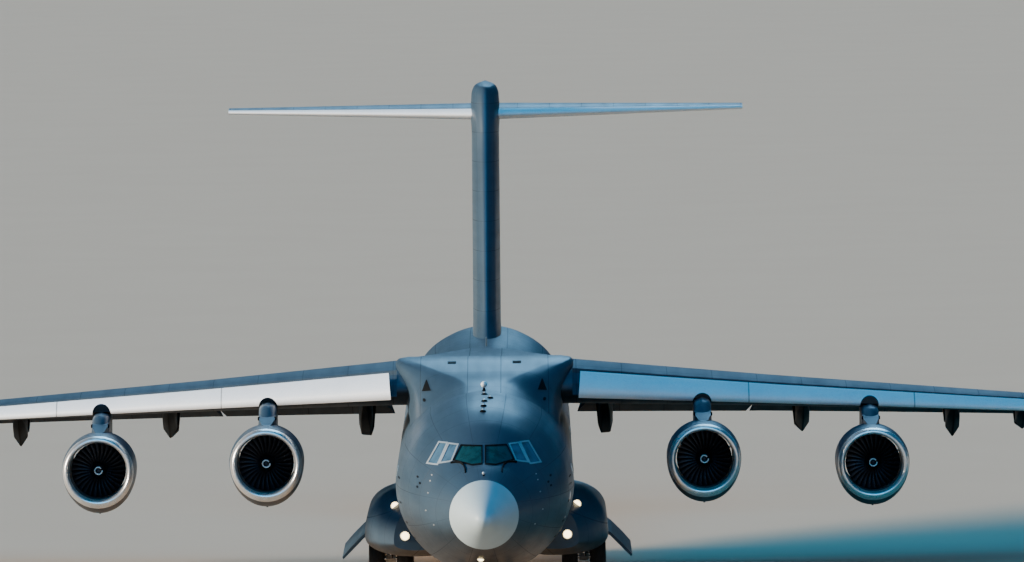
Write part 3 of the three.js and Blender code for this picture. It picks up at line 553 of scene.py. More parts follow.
class Value:
    """A shader socket that takes part in sums, each adding a Math node."""

    def __init__(self, shader: "Shader", socket: bpy.types.NodeSocket) -> None:
        """Wraps one output socket."""
        self.shader = shader
        self.socket = socket

    def math(self, operation: str, *others: "Value | float") -> "Value":
        """A Math node of an operation on this value and others."""
        inputs = {i: other for i, other in enumerate((self, *others))}
        return self.shader.node("ShaderNodeMath", {"operation": operation}, inputs)

    def reflected(self, operation: str, other: float) -> "Value":
        """The same with this value second."""
        return self.shader.node("ShaderNodeMath", {"operation": operation}, {0: other, 1: self})

    def __add__(self, other: "Value | float") -> "Value":
        """self + other"""
        return self.math("ADD", other)

    def __radd__(self, other: float) -> "Value":
        """other + self"""
        return self.reflected("ADD", other)

    def __sub__(self, other: "Value | float") -> "Value":
        """self - other"""
        return self.math("SUBTRACT", other)

    def __rsub__(self, other: float) -> "Value":
        """other - self"""
        return self.reflected("SUBTRACT", other)

    def __mul__(self, other: "Value | float") -> "Value":
        """self * other"""
        return self.math("MULTIPLY", other)

    def __rmul__(self, other: float) -> "Value":
        """other * self"""
        return self.reflected("MULTIPLY", other)

    def __truediv__(self, other: "Value | float") -> "Value":
        """self / other"""
        return self.math("DIVIDE", other)

    def fades(self, start: float, end: float) -> "Value":
        """A smooth step between two values.

        Args:
            start: where it begins to change.
            end: where it has changed.

        Returns:
            1 up to start and 0 from end on; with end the lower one, 0 up to end and 1 from start on.
        """
        low, high = min(start, end), max(start, end)
        settings = {"interpolation_type": "SMOOTHSTEP"}
        span = {"Value": self, "From Min": low, "From Max": high}
        span |= {"To Min": 1.0, "To Max": 0.0} if start < end else {"To Min": 0.0, "To Max": 1.0}
        return self.shader.node("ShaderNodeMapRange", settings, span, "Result")

    def near(self, place: float, width: float) -> "Value":
        """1 on one line at a place, 0 elsewhere."""
        return (self - place).math("ABSOLUTE").fades(width * 0.3, width)

    def lines(self, pitch: float, width: float) -> "Value":
        """1 on lines at each multiple of a pitch, 0 between them."""
        middle = ((self / pitch).math("FRACT") - 0.5).math("ABSOLUTE")
        return 1 - middle.fades(0.5 - width / pitch, 0.5)

    def on_line(self, start: float, first: float, slope: float) -> "Value":
        """The height here of a straight line that has a first value at its start."""
        return (self - start) * slope + first


class Shader:
    """One material and its nodes."""

    def __init__(self, name: str) -> None:
        """Starts an empty material with its output node.

        Args:
            name: the material's name.
        """
        self.material = bpy.data.materials.new(name)
        self.material.use_nodes = True
        self.tree = self.material.node_tree
        self.tree.nodes.clear()

    def node(
        self,
        kind: str,
        settings: dict[str, object] | None = None,
        inputs: dict[str | int, object] | None = None,
        output: str | int = 0,
    ) -> Value:
        """Adds a node.

        Args:
            kind: its type.
            settings: its own properties, set first; "stops" are a colour ramp's (place, colour) pairs.
            inputs: values or links of its sockets.
            output: which output is returned.

        Returns:
            That output.
        """
        made = self.tree.nodes.new(kind)
        for key, value in (settings or {}).items():
            if key == "stops":
                self.ramp(made, value)
            else:
                setattr(made, key, value)
        for key, value in (inputs or {}).items():
            if isinstance(value, Value):
                self.tree.links.new(value.socket, made.inputs[key])
            else:
                made.inputs[key].default_value = value
        return Value(self, made.outputs[output])

    @staticmethod
    def ramp(made: bpy.types.Node, stops: Sequence[tuple[float, Row]]) -> None:
        """Sets a colour ramp's stops.

        Args:
            made: the ramp's node.
            stops: its (place, colour) pairs.
        """
        elements = made.color_ramp.elements
        while len(elements) < len(stops):
            elements.new(0.5)
        for element, (place, colour) in zip(elements, stops):
            element.position = place
            element.color = (*colour, 1.0)

    def place(self) -> Value:
        """The point on the piece, in the frame's metres."""
        return self.node("ShaderNodeTexCoord", output="Object")

    def axes(self) -> tuple[Value, Value, Value]:
        """The point on the piece, split up.

        Returns:
            Its x, y and z, in the frame's metres.
        """
        split = self.node("ShaderNodeSeparateXYZ", inputs={0: self.place()})
        outputs = split.socket.node.outputs
        return Value(self, outputs[0]), Value(self, outputs[1]), Value(self, outputs[2])

    def facing_down(self) -> Value:
        """1 on surfaces that face the ground, 0 on those that stand or face up."""
        normal = self.node("ShaderNodeNewGeometry", output="Normal")
        return self.node("ShaderNodeSeparateXYZ", inputs={0: normal}, output="Z").fades(-0.6, -0.1)

    def noise(self, scale: float, detail: float = 4.0, stretch: Row = (1, 1, 1)) -> Value:
        """Smooth noise.

        Args:
            scale: how fine it is.
            detail: how many octaves it has.
            stretch: how much finer it is along x, y and z.

        Returns:
            Values from 0 to 1.
        """
        point = self.node(
            "ShaderNodeVectorMath",
            {"operation": "MULTIPLY"},
            {0: self.place(), 1: tuple(stretch)},
        )
        return self.node("ShaderNodeTexNoise", inputs={"Vector": point, "Scale": scale, "Detail": detail})

    def mix(self, factor: Value, first: Row | Value, second: Row | Value) -> Value:
        """A colour between two.

        Args:
            factor: 0 for the first, 1 for the second.
            first: a colour or a link.
            second: the same.

        Returns:
            The colour.
        """
        colours = [c if isinstance(c, Value) else (*c, 1.0) for c in (first, second)]
        return self.node(
            "ShaderNodeMix",
            {"data_type": "RGBA"},
            {"Factor": factor, 6: colours[0], 7: colours[1]},
            2,
        )

    def bump(self, height: Value, distance: float, strength: float = 1.0) -> Value:
        """A bumped normal.

        Args:
            height: the height.
            distance: how high 1 is, in the frame's metres.
            strength: how much of it shows.

        Returns:
            The normal.
        """
        return self.node(
            "ShaderNodeBump",
            inputs={"Height": height, "Distance": distance, "Strength": strength},
            output="Normal",
        )

    def surface(self, **sockets: object) -> bpy.types.Material:
        """Ends the material in a Principled surface.

        Args:
            sockets: its sockets by name, with _ for a blank.

        Returns:
            The material.
        """
        inputs = {key.replace("_", " "): value for key, value in sockets.items()}
        surface = self.node("ShaderNodeBsdfPrincipled", inputs=inputs, output="BSDF")
        self.node_output(surface)
        return self.material

    def node_output(self, surface: Value) -> None:
        """Links the surface to the material's output."""
        end = self.tree.nodes.new("ShaderNodeOutputMaterial")
        self.tree.links.new(surface.socket, end.inputs["Surface"])


class Panels(Enum):
    """Which skin's panel joints run where, with their spacing along it and across it.

    It is in the frame's metres, apart from shares of the chord along wing and tailplane, and radians
    round the body.
    """

    BODY = (0.62, 0.45)
    WING = (0.155, 0.72)
    TAIL = (0.24, 0.55)
    FIN = (0.5, 0.48)
    COWL = (0.58, 0.0)
    FAIRING = (1.05, 0.0)
    PLAIN = (0.0, 0.0)


# Straight lines over the distance from the middle, in the frame's metres: where each starts, its value
# there, its slope
WING_EDGE = (1.375, -4.5, 0.499)
WING_INNER_CHORD = (1.375, 4.85, -0.387)
WING_OUTER_CHORD = (4.5, 3.64, -0.312)
TAIL_EDGE = (0.0, 8.85, 0.443)
TAIL_CHORD = (0.0, 2.375, -0.323)
FIN_SWEEP = 0.887
# Where the fairing's long joints lie, and the joints between the lengths of slat
FAIRING_JOINTS = (0.26, 1.0)
SLAT_SEAMS = (4.175, 6.85, 9.6)


@dataclass(frozen=True)
class SkinPaint:
    """Satin blue-grey paint over riveted panels, streaked along the airflow, with painted shade on faces that
    look down.
    """

    name: str
    panels: Panels
    light: Row = (0.037, 0.068, 0.1)
    deep: Row = (0.029, 0.055, 0.082)
    roughness: float = 0.44
    joint: float = 0.009
    coat: float = 0.12
    # How strongly faces that look down are darkened, as painted shade
    painted_underside_shade: float = 0.85
    specular: float = 0.3

    def joints(self, shader: Shader) -> Value:
        """Lays out the joints between panels.

        Args:
            shader: the material that they are for.

        Returns:
            1 on the joints, 0 elsewhere.
        """
        x, y, z = shader.axes()
        across = x.math("ABSOLUTE")
        pitch, cross_pitch = self.panels.value
        if self.panels is Panels.BODY:
            turn = x.math("ARCTAN2", z - BARREL_MIDDLE * SCALE)
            seams = (turn + 0.2).lines(cross_pitch, self.joint / 1.3)
            return y.lines(pitch, self.joint).math("MAXIMUM", seams)
        if self.panels is Panels.WING:
            chord = across.on_line(*WING_INNER_CHORD).math("MAXIMUM", across.on_line(*WING_OUTER_CHORD))
            spars = ((y - across.on_line(*WING_EDGE)) / chord + 0.02).lines(pitch, self.joint / 4)
            return spars.math("MAXIMUM", across.lines(cross_pitch, self.joint))
        if self.panels is Panels.TAIL:
            share = (y - across.on_line(*TAIL_EDGE)) / across.on_line(*TAIL_CHORD)
            return share.lines(pitch, self.joint / 2).math("MAXIMUM", across.lines(cross_pitch, self.joint))
        if self.panels is Panels.FIN:
            spars = (y - z * FIN_SWEEP).lines(pitch, self.joint)
            return spars.math("MAXIMUM", z.lines(cross_pitch, self.joint))
        if self.panels is Panels.COWL:
            return y.lines(pitch, self.joint)
        if self.panels is Panels.FAIRING:
            inner, outer = (across.near(place, self.joint) for place in FAIRING_JOINTS)
            return inner.math("MAXIMUM", outer).math("MAXIMUM", y.lines(pitch, self.joint))
        return x * 0

    def material(self) -> bpy.types.Material:
        """Builds the finish.

        Returns:
            The material.
        """
        shader = Shader(self.name)
        joint = self.joints(shader)
        cloud = shader.noise(1.1, 5.0)
        streak = shader.noise(5.0, 6.0, (1, 0.08, 1))
        fine = shader.noise(60.0, 3.0)
        worn = (streak * 0.55 + cloud * 0.45).fades(0.66, 0.36)
        colour = shader.mix(worn, self.light, self.deep)
        colour = shader.mix(joint * 0.55, colour, tuple(0.35 * c for c in self.deep))
        # Painted shade: faces that look down are darkened towards black
        colour = shader.mix(shader.facing_down() * self.painted_underside_shade, colour, tuple(0.15 * c for c in self.deep))
        rough = (streak - 0.5) * 0.22 + (fine - 0.5) * 0.08 + self.roughness + joint * 0.2
        height = (1 - joint) + fine * 0.02 + cloud * 0.35
        return shader.surface(
            Base_Color=colour,
            Roughness=rough,
            Metallic=0.12,
            Normal=shader.bump(height, 0.0022, 0.45),
            Specular_IOR_Level=self.specular,
            Coat_Weight=self.coat,
            Coat_Roughness=0.22,
        )


@dataclass(frozen=True)
class PlainPaint:
    """Paint, rubber or plastic of one colour with soft mottling and a fine grain."""

    name: str
    colour: Row
    roughness: float
    metallic: float = 0.0
    mottle: float = 0.25
    grain: float = 90.0
    depth: float = 0.0006
    coat: float = 0.0
    specular: float = 0.5

    def material(self) -> bpy.types.Material:
        """Builds the finish.

        Returns:
            The material.
        """
        shader = Shader(self.name)
        cloud = shader.noise(2.3, 5.0)
        fine = shader.noise(self.grain, 4.0)
        darker = tuple((1 - self.mottle) * c for c in self.colour)
        colour = shader.mix(cloud.fades(0.68, 0.34), self.colour, darker)
        return shader.surface(
            Base_Color=colour,
            Roughness=(fine - 0.5) * 0.2 + (cloud - 0.5) * 0.15 + self.roughness,
            Metallic=self.metallic,
            Normal=shader.bump(fine, self.depth, 0.4),
            Specular_IOR_Level=self.specular,
            Coat_Weight=self.coat,
        )


@dataclass(frozen=True)
class BareMetal:
    """Polished sheet with faint rolling marks and rain streaks."""

    name: str
    colour: Row = (0.62, 0.64, 0.66)
    stain: Row = (0.42, 0.44, 0.47)
    roughness: float = 0.27
    stretch: Row = (0.3, 6.0, 6.0)
    metallic: float = 0.95
    seams: Row = ()

    def material(self) -> bpy.types.Material:
        """Builds the finish.

        Returns:
            The material.
        """
        shader = Shader(self.name)
        rolled = shader.noise(14.0, 6.0, self.stretch)
        cloud = shader.noise(1.7, 5.0)
        colour = shader.mix((rolled * 0.6 + cloud * 0.4).fades(0.64, 0.4), self.colour, self.stain)
        height = rolled * 0.4
        for place in self.seams:
            x, _, _ = shader.axes()
            seam = x.math("ABSOLUTE").near(place, 0.014)
            colour = shader.mix(seam * 0.7, colour, (0.05, 0.055, 0.06))
            height = height - seam
        return shader.surface(
            Base_Color=colour,
            Metallic=self.metallic,
            Roughness=(rolled - 0.5) * 0.18 + (cloud - 0.5) * 0.12 + self.roughness,
            Normal=shader.bump(height, 0.0012, 0.5),
        )


@dataclass(frozen=True)
class Glazing:
    """Dark tinted glass with a faint film of dust."""

    name: str
    colour: Row

    def material(self) -> bpy.types.Material:
        """Builds the finish.

        Returns:
            The material.
        """
        shader = Shader(self.name)
        dust = shader.noise(7.0, 5.0, (1, 1, 0.4))
        return shader.surface(
            Base_Color=shader.mix(dust.fades(0.75, 0.4), tuple(2.1 * c for c in self.colour), self.colour),
            Roughness=dust * 0.12 + 0.03,
            Coat_Weight=0.6,
            Coat_Roughness=0.04,
        )


@dataclass(frozen=True)
class Lamp:
    """A lit lens, brighter at its middle."""

    name: str
    colour: Row
    strength: float

    def material(self) -> bpy.types.Material:
        """Builds the finish.

        Returns:
            The material.
        """
        shader = Shader(self.name)
        ripple = shader.noise(160.0, 2.0)
        return shader.surface(
            Base_Color=shader.mix(ripple, (0.9, 0.88, 0.8), (0.7, 0.7, 0.68)),
            Roughness=0.2,
            Emission_Color=shader.mix(ripple, self.colour, tuple(0.9 * c for c in self.colour)),
            Emission_Strength=self.strength,
        )


class Finishes:
    """All finishes of the plane, each made once."""

    def __init__(self) -> None:
        """Builds the materials."""
        self.body = SkinPaint("fuselage_paint", Panels.BODY).material()
        self.wing = SkinPaint("wing_paint", Panels.WING, roughness=0.6, coat=0.02, specular=0.2).material()
        self.tail = SkinPaint("tailplane_paint", Panels.TAIL).material()
        self.fin = SkinPaint("fin_paint", Panels.FIN).material()
        self.cowl = SkinPaint("cowl_paint", Panels.COWL).material()
        self.fairing = SkinPaint("fairing_paint", Panels.FAIRING).material()
        self.plain = SkinPaint("door_paint", Panels.PLAIN).material()
        # Near black and matt: painted shade on the flap track fairings under the wing and in the nose vents,
        # and the tailplane's dark tips
        dark = {"light": (0.008, 0.01, 0.014), "deep": (0.005, 0.007, 0.01), "roughness": 0.55}
        matt = {"coat": 0.0, "specular": 0.06}
        self.track = SkinPaint("dark_paint_and_painted_shade", Panels.PLAIN, **dark, **matt).material()
        # The flaps are painted darker than the wing: painted shade for the shadow they lie in
        painted_flap_shade = {"light": (0.018, 0.026, 0.038), "deep": (0.013, 0.02, 0.03), "roughness": 0.55}
        self.flap = SkinPaint("flap_painted_shade", Panels.WING, **painted_flap_shade, **matt).material()
        self.radome = PlainPaint(
            "radome_paint", (0.42, 0.5, 0.52), 0.48, mottle=0.08, depth=0.0002, coat=0.08
        ).material()
        pale = {"metallic": 0.05}
        self.slat = BareMetal(
            "slat_sheet", (0.95, 0.95, 0.96), (0.84, 0.85, 0.88), 0.46, seams=SLAT_SEAMS, **pale
        ).material()
        self.edge = BareMetal(
            "tail_edge_sheet", (0.95, 0.95, 0.95), (0.84, 0.85, 0.86), 0.44, **pale
        ).material()
        self.lip = BareMetal(
            "intake_lip_sheet", (0.84, 0.83, 0.81), (0.7, 0.69, 0.68), 0.3, (1, 1, 1), metallic=0.8
        ).material()
        # Near-black metal for the blades and spinner: painted shade of the deep duct
        self.fan = PlainPaint("fan_titanium_painted_shade", (0.016, 0.021, 0.032), 0.3, 0.75, 0.3).material()
        self.duct = PlainPaint("duct_lining", (0.05, 0.055, 0.062), 0.55, 0.1, 0.2).material()
        self.core = BareMetal("heat_stained_steel", (0.33, 0.29, 0.25), (0.16, 0.15, 0.17), 0.42).material()
        self.front_glass = Glazing("front_pane_glass", (0.006, 0.028, 0.032)).material()
        self.side_glass = Glazing("side_pane_glass", (0.035, 0.07, 0.1)).material()
        self.frame = PlainPaint("pane_frame_paint", (0.42, 0.47, 0.5), 0.35, 0.3, 0.2).material()
        # Black for seals, wipers and fittings, and painted shade for the openings of vents, drains, inlets
        # and slots
        self.seal_and_hole_shade = PlainPaint("black_seal_and_painted_hole_shade", (0.005, 0.006, 0.007), 0.7, specular=0.06).material()
        self.white = PlainPaint("white_gloss_paint", (0.75, 0.76, 0.76), 0.25, 0, 0.08, coat=0.4).material()
        self.tyre = PlainPaint("tyre_rubber", (0.016, 0.016, 0.017), 0.82, 0, 0.35, 140, 0.001).material()
        self.hub = PlainPaint("wheel_hub_paint", (0.5, 0.51, 0.52), 0.35, 0.4, 0.3).material()
        self.strut = PlainPaint("strut_paint", (0.62, 0.63, 0.64), 0.3, 0.1, 0.2, coat=0.3).material()
        self.chrome = BareMetal("oleo_chrome", (0.8, 0.8, 0.8), (0.6, 0.6, 0.6), 0.1, (1, 1, 1)).material()
        self.hose = PlainPaint("hydraulic_hose", (0.02, 0.02, 0.02), 0.5).material()
        self.lining = PlainPaint("hold_lining", (0.32, 0.35, 0.33), 0.6, 0, 0.25).material()
        self.hold_floor = PlainPaint("hold_floor_paint", (0.12, 0.125, 0.13), 0.6, 0.2, 0.35).material()
        self.lamp = Lamp("landing_light_lens", (1.0, 0.78, 0.4), 7.0).material()


def dress(
    obj: bpy.types.Object, finish: bpy.types.Material, body: str, angle: float = 30.0
) -> None:
    """Gives a piece its finish, shading and body.

    Args:
        obj: the piece, at its place.
        finish: its material, unless it has its own already.
        body: the CAD body it rides on.
        angle: edges over this many degrees stay sharp.
    """
    if not obj.data.materials:
        obj.data.materials.append(finish)
    shaded(obj, angle)
    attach(obj, body)


def finished(obj: bpy.types.Object, finish: bpy.types.Material) -> bpy.types.Object:
    """Gives a part of a piece its finish.

    Args:
        obj: the mesh.
        finish: its material.

    Returns:
        The same object.
    """
    obj.data.materials.clear()
    obj.data.materials.append(finish)
    return obj


# The fuselage


def hull(name: str, grow: float) -> bpy.types.Object:
    """The fuselage's outer form.

    Args:
        name: the object's name.
        grow: how far it is grown outwards.

    Returns:
        The object.
    """
    rings = []
    for d, top, bottom, half in smoothed(FUSELAGE, 7):
        middle, tall, wide = (top + bottom) / 2, (top - bottom) / 2 + grow, half + grow
        rings.append([at(across * wide, d, middle + up * tall) for across, up in oval(96)])
    return loft(name, rings)


def hump(name: str, grow: float) -> bpy.types.Object:
    """The wing-body fairing's outer form.

    Args:
        name: the object's name.
        grow: how far it is grown outwards.

    Returns:
        The object.
    """
    shape = smoothed(FAIRING_SHAPE, 4)
    rings = []
    for d, top, bottom, half, own in smoothed(FAIRING, 6):
        wall = []
        for up, across, degrees in shape:
            turn = math.radians(degrees)
            height = BARREL_MIDDLE + math.cos(turn) * (top + grow - BARREL_MIDDLE)
            circle = at(math.sin(turn) * (half + grow), d, height)
            height = (top + bottom) / 2 + up * ((top - bottom) / 2 + grow)
            wall.append(circle.lerp(at(across * (half + grow), d, height), own))
        rings.append([*wall, *[Vector((-p.x, p.y, p.z)) for p in reversed(wall)]])
    return loft(name, rings)


def polygon_outline(x: float, z: float, radius: float, count: int = 12) -> list[Row]:
    """A round outline about (x, z)."""
    turns = [i / count * math.tau for i in range(count)]
    return [(x + radius * math.cos(a), z + radius * math.sin(a)) for a in turns]


def plates(
    name: str,
    skin: Callable[[str, float], bpy.types.Object],
    outlines: Sequence[Sequence[Row]],
    reach: Row,
    proud: float,
) -> bpy.types.Object:
    """Thin plates on a skin, cut to outlines seen from the front.

    Args:
        name: the object's name.
        skin: makes the skin, grown outwards by a number.
        outlines: each plate's (x, z) points.
        reach: the d between which they lie.
        proud: how far they stand out.

    Returns:
        The plates as one object.
    """
    share = joined("share", [prism("outline", outline, *reach) for outline in outlines])
    made = boolean(skin(name, proud), [share], Cut.SHARED)
    return boolean(made, [skin("plates_inside", -0.03)])


def skin_d(x: float, z: float) -> float:
    """Finds the front of the hull's skin.

    Args:
        x: how far aside it is.
        z: its height.

    Returns:
        How far behind the nose tip it lies.
    """
    for d, top, bottom, half in smoothed(FUSELAGE, 12):
        if (x / half) ** 2 + ((2 * z - top - bottom) / (top - bottom)) ** 2 <= 1:
            return d
    raise ValueError("no skin there")


@dataclass
class Fuselage:
    """The pressure hull with its openings, doors and glazing."""

    finishes: Finishes
    skin: float = 0.22
    floor: float = 2.3
    play: float = 0.02
    crew_play: float = 0.015
    crease: float = 24.0
    lined_share: float = 0.9
    plate_depth: float = 0.03
    ramp_front: float = 29.5
    ramp_back: float = 35.5
    ramp_bottom: float = 2.76
    ramp_depth: float = 0.6
    ramp_lean: float = 0.3
    ramp_half: float = 1.75
    aft_back: float = 40.8
    aft_half: float = 1.45
    below: float = 0.5
    rim_width: float = 0.045
    pane_inset: float = 0.012
    pane_depth: float = 0.06
    blade_height: float = 0.34
    blade_chord: float = 0.42
    blade_sweep: float = 0.16

    # Limits of x, d and z of what is cut from the hull
    ROOMS = {
        "hold_space": ((-3, 3), (9.0, 41.2), (floor, 6.5)),
        "deck_space": ((-3, 3), (2.6, 8.5), (4.5, 6.45)),
        "entry_space": ((-3, 3), (5.7, 9.1), (floor, 4.28)),
    }
    CENTRE_BOX = ((-3, 3), (12.6, 25.8), (5.45, 6.6))
    NOSE_WELL = ((-0.62, 0.62), (5.25, 7.55), (0.5, 2.05))
    CREW_DOOR = ((1.5, 3.2), (6.3, 7.25), (2.35, 4.15))
    CREW_GRIP = ((1.2, 3.2), (6.45, 6.72), (3.12, 3.17))
    AFT_HEIGHTS = (1.0, 5.3)
    # The d between which the inside has its lining
    LINED = (2.5, 45.0)
    # How far from the middle a side's fittings may lie
    SIDE_REACH = (1.2, 3.4)
    # Side doors' and hatches' (front, back, low, high)
    SIDE_FRAMES = [(26.6, 27.6, 3.0, 4.8), (12.4, 13.1, 3.3, 4.3)]
    SIDE_WINDOWS = [(8.1, 4.5), (12.75, 4.02), (23.2, 4.5), (27.1, 4.25)]
    CREW_WINDOW = (6.78, 3.75)
    # Radius and how proud the rim and the glass of a round window stand
    WINDOW_RINGS = ((0.17, 0.006), (0.13, 0.01))

    # Windscreen panes on the plane's left as (x, z), and the d that they lie between
    GLAZED = (2.0, 5.3)
    FRONT_PANE = [(0.05, 5.60), (0.69, 5.61), (0.927, 5.19), (0.362, 5.083), (0.05, 5.118)]
    SIDE_PANES = [
        [(0.79, 5.615), (1.057, 5.63), (1.325, 5.10), (0.99, 5.165)],
        [(1.12, 5.642), (1.36, 5.644), (1.717, 5.05), (1.412, 5.045)],
    ]
    WIPER = [(0.55, 4.88), (0.56, 4.98), (0.61, 5.07), (0.70, 5.115), (0.85, 5.115), (1.0, 5.11)]

    # Small ports, drains and inlets as (x, z), on both sides
    BRIGHT_PORTS = [(1.7, 4.21), (1.63, 4.56), (1.58, 4.73), (1.77, 3.68), (1.53, 3.27)]
    DARK_PORTS = [(2.02, 4.62), (2.03, 4.33), (2.62, 4.38), (2.58, 3.65), (2.39, 3.05), (2.15, 2.55)]
    DARK_PORTS += [(1.95, 4.45)]
    DRAINS = [(1.876, 6.37)]
    INLET = [(1.81, 6.98), (1.955, 6.61), (1.665, 6.655)]
    # Limits of x, d and z of the slots in the fairing's top
    TOP_VENTS = [((x - 0.135, x + 0.135), (14.4, 14.8), (6.9, 7.8)) for x in (-1.02, 1.02)]
    # Low domes on the crown as (x, d), and blades as name, d, z and whether they point up
    CROWN_DOMES = [(0.02, 8.5), (0.2, 7.7), (0.02, 7.1), (0.0, 6.3), (-0.02, 5.7)]
    BLADES = [("top", 30.5, 6.79, 1), ("belly_front", 11.5, 1.32, -1), ("belly_back", 27.6, 1.32, -1)]
    # Share of the chord, share of the thickness
    BLADE_SHAPE = [(0.0, 0.0), (0.25, 1.0), (0.6, 0.8), (1.0, 0.0), (0.6, -0.8), (0.25, -1.0)]

    def seam(self, z: float) -> float:
        """Where the leaning seam of ramp and aft door lies at a height."""
        return self.ramp_back + (self.ramp_bottom - z) * self.ramp_lean / self.ramp_depth

    def ramp_block(self, play: float) -> bpy.types.Object:
        """The ramp's share of the hull.

        Args:
            play: how much wider it is than the ramp on each side.

        Returns:
            The block, for cutting.
        """
        top = self.ramp_bottom + self.ramp_depth
        outline = [
            (self.ramp_front - play, self.below),
            (self.ramp_front - play, self.floor + play),
            (self.seam(top) + play, top + play),
            (self.seam(self.below) + play, self.below),
        ]
        return side_prism("ramp_cut", outline, -self.ramp_half - play, self.ramp_half + play)

    def aft_block(self, play: float) -> bpy.types.Object:
        """The aft cargo door's share of the hull.

        Args:
            play: how much wider it is than the door on each side.

        Returns:
            The block, for cutting.
        """
        front = 2 * self.play - play
        low, high = self.AFT_HEIGHTS
        outline = [
            (self.seam(low) + front, low),
            (self.seam(high) + front, high),
            (self.aft_back + play, high),
            (self.aft_back + play, low),
        ]
        return side_prism("aft_cut", outline, -self.aft_half - play, self.aft_half + play)

    def crew_block(self, play: float) -> bpy.types.Object:
        """The crew door's share of the hull, wider by play on each side."""
        reach, d, z = self.CREW_DOOR
        return block("crew_cut", reach, (d[0] - play, d[1] + play), (z[0] - play, z[1] + play))

    def room(self, name: str) -> bpy.types.Object:
        """One of the spaces inside the skin, for cutting."""
        return boolean(block(name, *self.ROOMS[name]), [hull("inside", -self.skin)], Cut.SHARED)

    def panes(self) -> list[tuple[str, list[Row], bool]]:
        """Lays out the windscreen.

        Returns:
            Name, outline and whether it is a front pane, for each pane on both sides.
        """
        found = []
        for hand, side in reversed(SIDES):
            for number, outline in enumerate([self.FRONT_PANE, *self.SIDE_PANES], start=1):
                mirrored = [(side * x, z) for x, z in outline]
                found.append((f"windscreen_pane_{hand}_{number}", mirrored, number == 1))
        return found

    @staticmethod
    def grown(outline: Sequence[Row], by: float) -> list[Row]:
        """An outline moved outwards from its middle on all sides.

        Args:
            outline: its points.
            by: how far each side moves.

        Returns:
            The new points.
        """
        count = len(outline)
        area = sum(
            outline[i][0] * outline[(i + 1) % count][1] - outline[(i + 1) % count][0] * outline[i][1]
            for i in range(count)
        )
        turn = 1 if area > 0 else -1
        moved = []
        for i in range(count):
            before, here, after = (Vector(outline[(i + k) % count]) for k in (-1, 0, 1))
            first = (here - before).normalized()
            second = (after - here).normalized()
            normals = [Vector((e.y, -e.x)) * turn for e in (first, second)]
            bisector = (normals[0] + normals[1]).normalized()
            moved.append(tuple(here + bisector * by / max(0.4, bisector.dot(normals[0]))))
        return moved

    def build(self) -> None:
        """Makes the hull's own pieces."""
        body = hull("fuselage_skin", 0.0)
        hold, deck, entry = (self.room(name) for name in self.ROOMS)
        boolean(hold, [block("centre_box", *self.CENTRE_BOX)])
        well = block("nose_well", *self.NOSE_WELL)
        wings = [wing_solid(f"wing_cut_{side}", side, GAP) for _, side in SIDES]
        blocks = [self.ramp_block(self.play), self.aft_block(self.play), self.crew_block(self.play)]
        windows = [prism("pane_cut", outline, *self.GLAZED) for _, outline, _ in self.panes()]
        boolean(body, [hold, deck, entry, well, *wings, *blocks, *windows])
        self.line_inside(body)
        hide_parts("fuselage")
        dress(body, self.finishes.body, "airframe", self.crease)
        self.doors()
        self.glaze()
        self.details()

    def line_inside(self, body: bpy.types.Object) -> None:
        """Gives the hold and the flight deck their own finishes.

        Args:
            body: the hull's skin, already hollow.
        """
        mesh = body.data
        mesh.materials.clear()
        for finish in (self.finishes.body, self.finishes.lining, self.finishes.hold_floor):
            mesh.materials.append(finish)
        front, back = self.LINED
        for polygon in mesh.polygons:
            x, y, z = (c / SCALE for c in polygon.center)
            d = y + LENGTH / 2
            if not front < d < back:
                continue
            _, top, bottom, half = lookup(FUSELAGE, d)
            reach = (x / half) ** 2 + ((2 * z - top - bottom) / (top - bottom)) ** 2
            if reach < self.lined_share:
                trodden = polygon.normal.z > 0.9 and z < self.floor + 0.2
                polygon.material_index = 2 if trodden else 1

    def doors(self) -> None:
        """The ramp and the doors, cut from the same skin."""
        pieces = {
            "cargo_ramp": (self.ramp_block(0), "ramp_skin", False),
            "aft_cargo_door": (self.aft_block(0), "aft_door_skin", True),
            "crew_door": (self.crew_block(-self.crew_play), "crew_door_skin", True),
        }
        for node, (share, name, hollow) in pieces.items():
            door = boolean(hull(name, 0.0), [share], Cut.SHARED)
            if hollow:
                boolean(door, [hull("door_inside", -self.skin)])
            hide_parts(node)
            dress(door, self.finishes.body, node, self.crease)

    def side_openings(self) -> None:
        """Frames of the side doors and hatches, and round windows, on both sides."""
        rim_width = self.rim_width
        for hand, side in reversed(SIDES):
            reach = sorted(side * x for x in self.SIDE_REACH)
            for number, (front, back, low, high) in enumerate(self.SIDE_FRAMES, start=1):
                share = block("share", reach, (front, back), (low, high))
                rim = boolean(hull(f"side_door_frame_{hand}_{number}", 0.007), [share], Cut.SHARED)
                limits = (front + rim_width, back - rim_width), (low + rim_width, high - rim_width)
                boolean(rim, [hull("rim_inside", -0.04), block("hole", reach, *limits)])
                dress(rim, self.finishes.plain, "airframe", self.crease)
            for number, place in enumerate(self.SIDE_WINDOWS, start=1):
                self.round_window(f"side_window_{hand}_{number}", place, reach, "airframe")
        self.round_window("crew_door_window", self.CREW_WINDOW, self.SIDE_REACH, "crew_door")
        grip = block("grip", *self.CREW_GRIP)
        handle = boolean(hull("crew_door_handle", 0.014), [grip], Cut.SHARED)
        boolean(handle, [hull("grip_inside", -self.plate_depth)])
        dress(handle, self.finishes.hub, "crew_door", self.crease)

